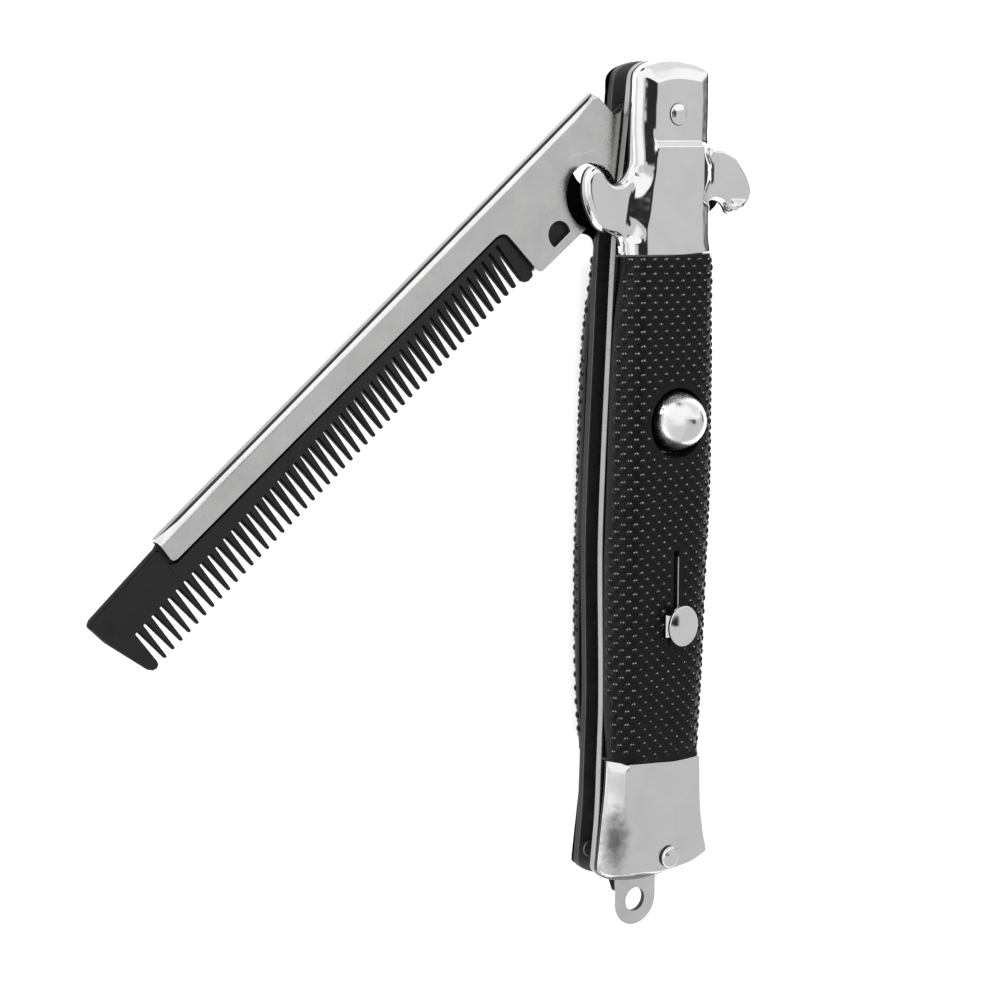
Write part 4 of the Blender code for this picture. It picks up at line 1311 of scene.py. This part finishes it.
def make_eye():
    """A flat eye whose root thickens to fill the space between the liners."""
    outline = [
        (EYE[0] + EYE_RADIUS, EYE_TAPER_Y),
        (EYE[0] + EYE_ROOT_HALF, EYE_BLOCK_END_Y),
        (EYE[0] + EYE_ROOT_HALF, EYE_BLOCK_TOP_Y - EYE_ROOT_LAP),
        (EYE[0] - EYE_ROOT_HALF, EYE_BLOCK_TOP_Y - EYE_ROOT_LAP),
        (EYE[0] - EYE_ROOT_HALF, EYE_BLOCK_END_Y),
        (EYE[0] - EYE_RADIUS, EYE_TAPER_Y),
    ] + arc(EYE, EYE_RADIUS, 180.0, 360.0, 64)
    mesh = plate("eye", [outline, circle(EYE, EYE_HOLE_RADIUS, 64)], -EYE_HALF, EYE_HALF, 0.08)
    piece = add_object("split_ring_eye_plate", mesh)
    left = EYE[0] - EYE_ROOT_HALF
    right = EYE[0] + EYE_ROOT_HALF
    sections = (
        (EYE_BLOCK_TOP_Y, -EYE_BLOCK_HALF, EYE_BLOCK_HALF),
        (EYE_BLOCK_FRONT_Y, -EYE_BLOCK_HALF, EYE_BLOCK_HALF),
        (EYE_BLOCK_END_Y, -EYE_BLOCK_HALF, EYE_ROOT_THIN),
        (EYE_TAPER_Y, -EYE_ROOT_THIN, EYE_ROOT_THIN),
    )
    points = []
    for y, rear, front in sections:
        points += [(left, y, rear), (right, y, rear), (right, y, front), (left, y, front)]
    faces = [(0, 1, 2, 3), (12, 13, 14, 15)]
    for start in (0, 4, 8):
        for i in range(4):
            j = (i + 1) % 4
            faces.append((start + i, start + j, start + 4 + j, start + 4 + i))
    cut(piece, add_object("eye_root", mesh_from("eye_root", points, faces)), "UNION")
    shade(piece, 30.0)
    level_faces(piece)
    finish_piece(piece, satin_steel, "handle", "split_ring_eye")
    # The root's left side and the hole's wall are painted dark as shade.
    shoulder = EYE_TAPER_Y * MM
    mark_faces(piece, painted_shade_dark, lambda face: face.normal.x < EYE_LEFT_SIDE and face.center.y > shoulder)
    mark_faces(piece, shadow_line, lambda face: in_hole(face, EYE, EYE_HOLE_RADIUS, EYE_STEEP))


make_eye()


# Channel and comb, drawn closed: a toward -Y, b toward +X.


def closed_frame(outline):
    return [(b, -a) for a, b in outline]


def leaf_outline():
    outline = arc((0.0, 0.0), PIVOT_RING_RADIUS, 90.0, 270.0, 48)
    outline += [(5.6, -4.75), (6.3, -4.95), (6.6, -5.5)]
    outline += [SPINE_START, SPINE_END, (98.0, -5.95), (97.8, -5.6)]
    outline += [(97.3, -5.4), (33.7, -5.0)]
    outline += [(32.9, -4.85), (32.3, -4.5), (31.93, -3.95), (31.8, -3.3)]
    outline += [(31.05, 3.1), (30.9, 3.5), (30.45, 3.8)]
    outline += arc(NOTCH, NOTCH_RADIUS, 39.5, -219.5, 90)
    outline += [(6.0, 4.5)]
    return outline


def d_hole():
    half = math.sqrt(D_HOLE_RADIUS**2 - (D_HOLE_FLAT_B - D_HOLE[1]) ** 2)
    start = math.degrees(math.atan2(D_HOLE_FLAT_B - D_HOLE[1], half))
    return arc(D_HOLE, D_HOLE_RADIUS, start, -180.0 - start, 48)


# Steps in the channel's fold, and the rounding of its other edges.
FOLD_SEGMENTS = 12
SHEET_BEVEL = 0.06
# Edges of the fold are level to this much, longer than this, and this near the channel's back.
FOLD_LEVEL = 0.001
FOLD_SHORTEST = 0.05
FOLD_REACH = 0.05
# Corners past the channel's ends and past its open side, between which it is hollow: (a, b).
HOLLOW_START = (-8.0, 9.0)
HOLLOW_END = (104.0, 9.0)
# Parts of the fold painted as highlight, lines of shade and a mid tone, by how far a face's normal rises:
# ranges, finish.
FOLD_PARTS = (
    (((0.72, 0.99),), highlight_and_scribe_steel),
    (((0.28, 0.72), (-0.6, -0.2)), shadow_line),
    (((-0.2, 0.28),), liner_steel),
)
# How far such a normal turns outward at least, and along the channel at most.
FOLD_TURN = 0.1


def on_fold(face, ranges):
    """Whether a face lies on the long fold, with its normal in one of some ranges."""
    across = face.normal.x < -FOLD_TURN and abs(face.normal.y) < FOLD_TURN
    return across and any(low < face.normal.z < high for low, high in ranges)


def make_channel():
    """The folded steel channel with its tang."""
    outlines = [closed_frame(leaf_outline()), closed_frame(d_hole())]
    outlines.append(circle((0.0, 0.0), PIVOT_HOLE_RADIUS, 48))
    mesh = plate("channel", outlines, -BLADE_HALF, BLADE_HALF)
    body = bmesh.new()
    body.from_mesh(mesh)
    fold = []
    for edge in body.edges:
        flat = abs(edge.verts[0].co.z - edge.verts[1].co.z) < FOLD_LEVEL
        outer = all(point.co.x < SPINE_END[1] + FOLD_REACH for point in edge.verts)
        if flat and outer and edge.calc_length() > FOLD_SHORTEST:
            fold.append(edge)
    shape = {"segments": FOLD_SEGMENTS, "profile": 0.5, "affect": "EDGES"}
    bmesh.ops.bevel(body, geom=fold, offset=SPINE_ROUND, **shape)
    bmesh.ops.recalc_face_normals(body, faces=body.faces)
    body.to_mesh(mesh)
    body.free()
    piece = add_object("spine_channel_sheet", mesh)
    inner = BLADE_HALF - BLADE_SHEET
    hollow = [
        (HOLLOW_START[0], SPINE_START[1] + BLADE_SHEET),
        (SPINE_START[0], SPINE_START[1] + BLADE_SHEET),
        (SPINE_END[0], SPINE_END[1] + BLADE_SHEET),
        (HOLLOW_END[0], SPINE_END[1] + BLADE_SHEET),
        HOLLOW_END,
        HOLLOW_START,
    ]
    cut(piece, add_object("hollow", plate("hollow", [closed_frame(hollow)], -inner, inner)), "DIFFERENCE")
    bevel = piece.modifiers.new("edges", "BEVEL")
    bevel.width = SHEET_BEVEL
    bevel.segments = 2
    bevel.limit_method = "ANGLE"
    bevel.angle_limit = math.radians(40.0)
    applied(piece)
    shade(piece, 30.0)
    level_faces(piece)
    # The fold's faces take painted highlight and shade by their normals.
    folds = []
    for ranges, _ in FOLD_PARTS:
        folds.append({face.index for face in piece.data.polygons if on_fold(face, ranges)})
    finish_piece(piece, satin_steel, "blade", "spine_channel")
    for (_, look), chosen in zip(FOLD_PARTS, folds):
        mark_faces(piece, look, lambda face: face.index in chosen)


make_channel()

# Fine lines drawn on the tang, each a row of (a, b) points, and their width.
TANG_LINES = (
    ((16.58, -5.64), (12.35, -3.4), (11.84, -0.25), (12.63, -0.18)),
    ((23.2, 2.76), (26.6, 2.76)),
    ((26.3, 3.5), (28.4, 3.55)),
)
TANG_LINE_WIDTH = 0.14
TANG_LINE_HEIGHT = 0.01


def make_lines():
    """A scribed line and two light lines by the D-hole, painted highlights of its edge, as hair-thin strips
    on the front leaf.
    """
    points = []
    faces = []
    for line in TANG_LINES:
        for start, end in zip(line, line[1:]):
            start, end = Vector(start), Vector(end)
            aside = Vector((start.y - end.y, end.x - start.x)).normalized() * TANG_LINE_WIDTH / 2
            first = len(points)
            for a, b in (start - aside, end - aside, end + aside, start + aside):
                points.append((b, -a, BLADE_HALF + TANG_LINE_HEIGHT))
            faces.append((first, first + 1, first + 2, first + 3))
    piece = add_object("tang_lines", mesh_from("tang_lines", points, faces))
    finish_piece(piece, highlight_and_scribe_steel, "blade")


make_lines()


def gap_centre(k):
    return GAP_START + GAP_PITCH * k + GAP_SHRINK * k**2 + GAP_EASE * k**3


def root_at(a):
    return ROOT_START_B + ROOT_RISE * (a - GAP_START)


def comb_outline():
    first = gap_centre(0)
    last = gap_centre(TEETH)
    outline = [(33.7, -4.7), (33.0, -4.55), (32.5, -4.25), (32.2, -3.8), (32.1, -3.2)]
    outline += [(31.35, 3.1), (31.65, 3.7), (32.7, 3.8), (33.3, 3.5)]
    outline += [(first - GAP_TIP_WIDTH / 2, 2.9), (first - GAP_ROOT_WIDTH / 2, root_at(first))]
    for k in range(TEETH):
        left = gap_centre(k)
        right = gap_centre(k + 1)
        middle = (left + right) / 2
        tip = TOOTH_TIP_B + TOOTH_TIP_RISE * (middle - GAP_START)
        half_width = (right - left - GAP_TIP_WIDTH) / 2
        shoulder = (half_width * TOOTH_SHOULDER[0], TOOTH_TIP_ROUND * TOOTH_SHOULDER[1])
        steps = ((half_width, TOOTH_TIP_ROUND), shoulder, (TOOTH_TIP_FLAT, 0.0))
        outline.append((left + GAP_ROOT_WIDTH / 2, root_at(left)))
        outline += [(middle - across, tip - down) for across, down in steps]
        outline += [(middle + across, tip - down) for across, down in reversed(steps)]
        outline.append((right - GAP_ROOT_WIDTH / 2, root_at(right)))
    outline += [(last + GAP_ROOT_WIDTH / 2, root_at(last)), (last + GAP_ROOT_WIDTH, 2.9)]
    outline += [(107.85, 3.4), (108.35, 3.65), (108.95, 3.45), (109.4, 2.8)]
    outline += [(111.05, -3.9), (111.3, -6.9), (111.1, -7.2), (110.5, -7.5), (98.7, -8.05), (98.35, -7.8)]
    outline += [(98.35, -5.5), (97.6, -5.05)]
    return outline


# Tongue of the comb inside the channel: outline of (a, b) points and half its thickness.
INSERT_OUTLINE = (
    (22.3, -8.85), (98.0, -8.3), (99.5, -7.8), (99.5, -3.5), (97.0, -3.6), (33.0, -4.4),
    (32.6, 2.9), (22.3, 3.2),
)
INSERT_HALF = 0.4
# Faces of the comb whose normals rise less than this are the walls between its teeth, painted darker as
# shade.
TOOTH_WALL_STEEP = 0.6


def make_comb():
    mesh = plate("comb", [closed_frame(comb_outline())], -COMB_BEVEL, COMB_BEVEL, COMB_BEVEL, 4)
    for vertex in mesh.vertices:
        a = -vertex.co.y
        root = root_at(a)
        tip = TOOTH_TIP_B + TOOTH_TIP_RISE * (a - GAP_START)
        share = min(1.0, max(0.0, (vertex.co.x - root) / (tip - root)))
        vertex.co.z *= COMB_HALF / COMB_BEVEL * (1.0 - TOOTH_TIP_THINNING * share)
    piece = add_object("comb_moulding", mesh)
    insert = plate("insert", [closed_frame(INSERT_OUTLINE)], -INSERT_HALF, INSERT_HALF)
    cut(piece, add_object("insert", insert), "UNION")
    shade(piece, 30.0)
    finish_piece(piece, black_comb, "blade", "comb")
    mark_faces(piece, painted_shade_walls, lambda face: abs(face.normal.z) < TOOTH_WALL_STEEP)


make_comb()

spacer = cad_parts["back_spacer"]
spacer.data.materials.clear()
spacer.data.materials.append(blackened_steel)


# Camera, floor and light.


def camera_axis():
    """Direction from the aim point to the camera."""
    return Vector(
        (
            -math.sin(CAMERA_YAW) * math.cos(CAMERA_PITCH),
            math.sin(CAMERA_PITCH),
            math.cos(CAMERA_YAW) * math.cos(CAMERA_PITCH),
        )
    )


def make_camera():
    back = camera_axis()
    right = Vector((0.0, 1.0, 0.0)).cross(back).normalized()
    up = back.cross(right)
    data = bpy.data.cameras.new("camera")
    data.lens = CAMERA_LENS
    data.sensor_width = SENSOR_WIDTH
    data.clip_start = 0.01
    data.clip_end = 10.0
    made = bpy.data.objects.new("camera", data)
    place = Matrix((right, up, back)).transposed().to_4x4()
    place.translation = (Vector(CAMERA_AIM) + back * CAMERA_DISTANCE) * MM
    made.matrix_world = place
    bpy.context.scene.collection.objects.link(made)
    bpy.context.scene.camera = made


FLOOR_HALF = 1.2


def make_floor():
    points = [(x * FLOOR_HALF, y * FLOOR_HALF, 0.0) for x, y in SQUARE]
    mesh = bpy.data.meshes.new("floor")
    mesh.from_pydata(points, [], [(0, 1, 2, 3)])
    floor = add_object("floor", mesh)
    made, nodes, links, shader, place = new_material("pale_floor")
    slow = noise(nodes, links, place, 3.0, 2.0)
    links.new(tint(nodes, links, slow, (0.93, 0.93, 0.93), (0.95, 0.95, 0.95)), shader.inputs["Base Color"])
    shader.inputs["Roughness"].default_value = 0.9
    shader.inputs["Specular IOR Level"].default_value = 0.1
    mesh.materials.append(made)


# Level of the surrounding light where nothing below changes it.
SKY_LEVEL = 1.08
# Rectangular parts of the sky: from and to angle across the handle, from and to lengthwise share, level.
SKY_PANELS = (
    (30.0, 180.0, 0.52, 1.10, 0.84),
    (-29.0, 112.0, -1.10, 0.28, 0.62),
    (-180.0, -29.0, -1.10, -0.20, 0.70),
    (-2.0, 17.0, -0.16, 0.30, 0.025),
    (-16.0, 17.0, 0.09, 0.28, 0.025),
    (74.0, 92.0, -0.10, 0.40, 0.05),
)
# Half widths of the soft edges of those parts.
PANEL_EDGE_DEG = 5.0
PANEL_EDGE_SHARE = 0.04
# Round parts of the sky: direction, cosines where the patch starts and is full, level.
SKY_PATCHES = (
    ((-0.10, 0.95, 0.10), 0.985, 0.992, 0.05),
    ((-0.98, 0.0, 0.12), 0.93, 0.98, 0.80),
)


def sky_rise(nodes, links, value, place, width):
    """0 below a place and 1 above it, with a soft edge."""
    return remap(nodes, links, value, (place - width, place + width))


def sky_window(nodes, links, value, low, high, width):
    """1 between two places and 0 outside them."""
    above = sky_rise(nodes, links, value, low, width)
    beyond = sky_rise(nodes, links, value, high, width)
    return number_math(nodes, links, "SUBTRACT", above, beyond)


def sky_blend(nodes, links, value, share, level):
    mix = nodes.new("ShaderNodeMix")
    links.new(share, mix.inputs["Factor"])
    links.new(value, mix.inputs[2])
    mix.inputs[3].default_value = level
    return mix.outputs[0]


def make_sky():
    world = bpy.data.worlds.new("studio")
    bpy.context.scene.world = world
    world.use_nodes = True
    nodes = world.node_tree.nodes
    links = world.node_tree.links
    background = nodes["Background"]
    place = nodes.new("ShaderNodeTexCoord")
    level = nodes.new("ShaderNodeValue")
    level.outputs[0].default_value = SKY_LEVEL
    value = level.outputs[0]
    parts = nodes.new("ShaderNodeSeparateXYZ")
    links.new(place.outputs["Generated"], parts.inputs[0])
    turn = number_math(nodes, links, "ARCTAN2", parts.outputs["X"], parts.outputs["Z"])
    turn = number_math(nodes, links, "DEGREES", turn)
    for low, high, start, end, panel_level in SKY_PANELS:
        across = sky_window(nodes, links, turn, low, high, PANEL_EDGE_DEG)
        along = sky_window(nodes, links, parts.outputs["Y"], start, end, PANEL_EDGE_SHARE)
        share = number_math(nodes, links, "MULTIPLY", across, along)
        value = sky_blend(nodes, links, value, share, panel_level)
    for direction, start, full, patch_level in SKY_PATCHES:
        towards = Vector(direction).normalized()
        dot = vector_math(nodes, links, "DOT_PRODUCT", place.outputs["Generated"], towards)["Value"]
        share = remap(nodes, links, dot, (start, full))
        value = sky_blend(nodes, links, value, share, patch_level)
    links.new(value, background.inputs["Strength"])
    background.inputs["Color"].default_value = (1.0, 1.0, 1.0, 1.0)


# Soft lights that glint on the grips: name, direction from the object, distance, width, power.
LIGHTS = (
    ("upper_glint", (0.08, 0.66, 0.74), 0.7, 0.35, 13.0),
    ("side_glint", (-0.73, 0.66, 0.18), 0.7, 0.35, 13.0),
)
# One more light brightens the floor alone and casts no shadow: its height, width and power.
FLOOR_LIGHT_HEIGHT = 2.0
FLOOR_LIGHT_WIDTH = 3.0
FLOOR_LIGHT_POWER = 60.0


def collection_of(name, labels):
    made = bpy.data.collections.new(name)
    for label in labels:
        made.objects.link(bpy.data.objects[label])
    return made


def area_light(name, direction, distance, width, power, lit):
    data = bpy.data.lights.new(name, "AREA")
    data.shape = "SQUARE"
    data.size = width
    data.energy = power
    lamp = bpy.data.objects.new(name, data)
    aim = Vector(direction).normalized()
    lamp.location = aim * distance
    lamp.rotation_mode = "QUATERNION"
    lamp.rotation_quaternion = aim.to_track_quat("Z", "Y")
    lamp.light_linking.receiver_collection = lit
    bpy.context.scene.collection.objects.link(lamp)
    return lamp


GLINTING = ("front_grip_skin", "front_grip_dots", "rear_grip_skin", "rear_grip_dots")


def make_lights():
    grips = collection_of("glinting_grips", GLINTING)
    for row in LIGHTS:
        area_light(*row, grips).visible_diffuse = False
    ground = collection_of("lit_floor", ("floor",))
    above = (0.0, 0.0, 1.0)
    lamp = area_light("floor_light", above, FLOOR_LIGHT_HEIGHT, FLOOR_LIGHT_WIDTH, FLOOR_LIGHT_POWER, ground)
    lamp.light_linking.blocker_collection = ground
    lamp.visible_camera = False
    lamp.visible_glossy = False


make_camera()
make_floor()
make_sky()
make_lights()
bpy.context.scene.view_settings.view_transform = "Standard"
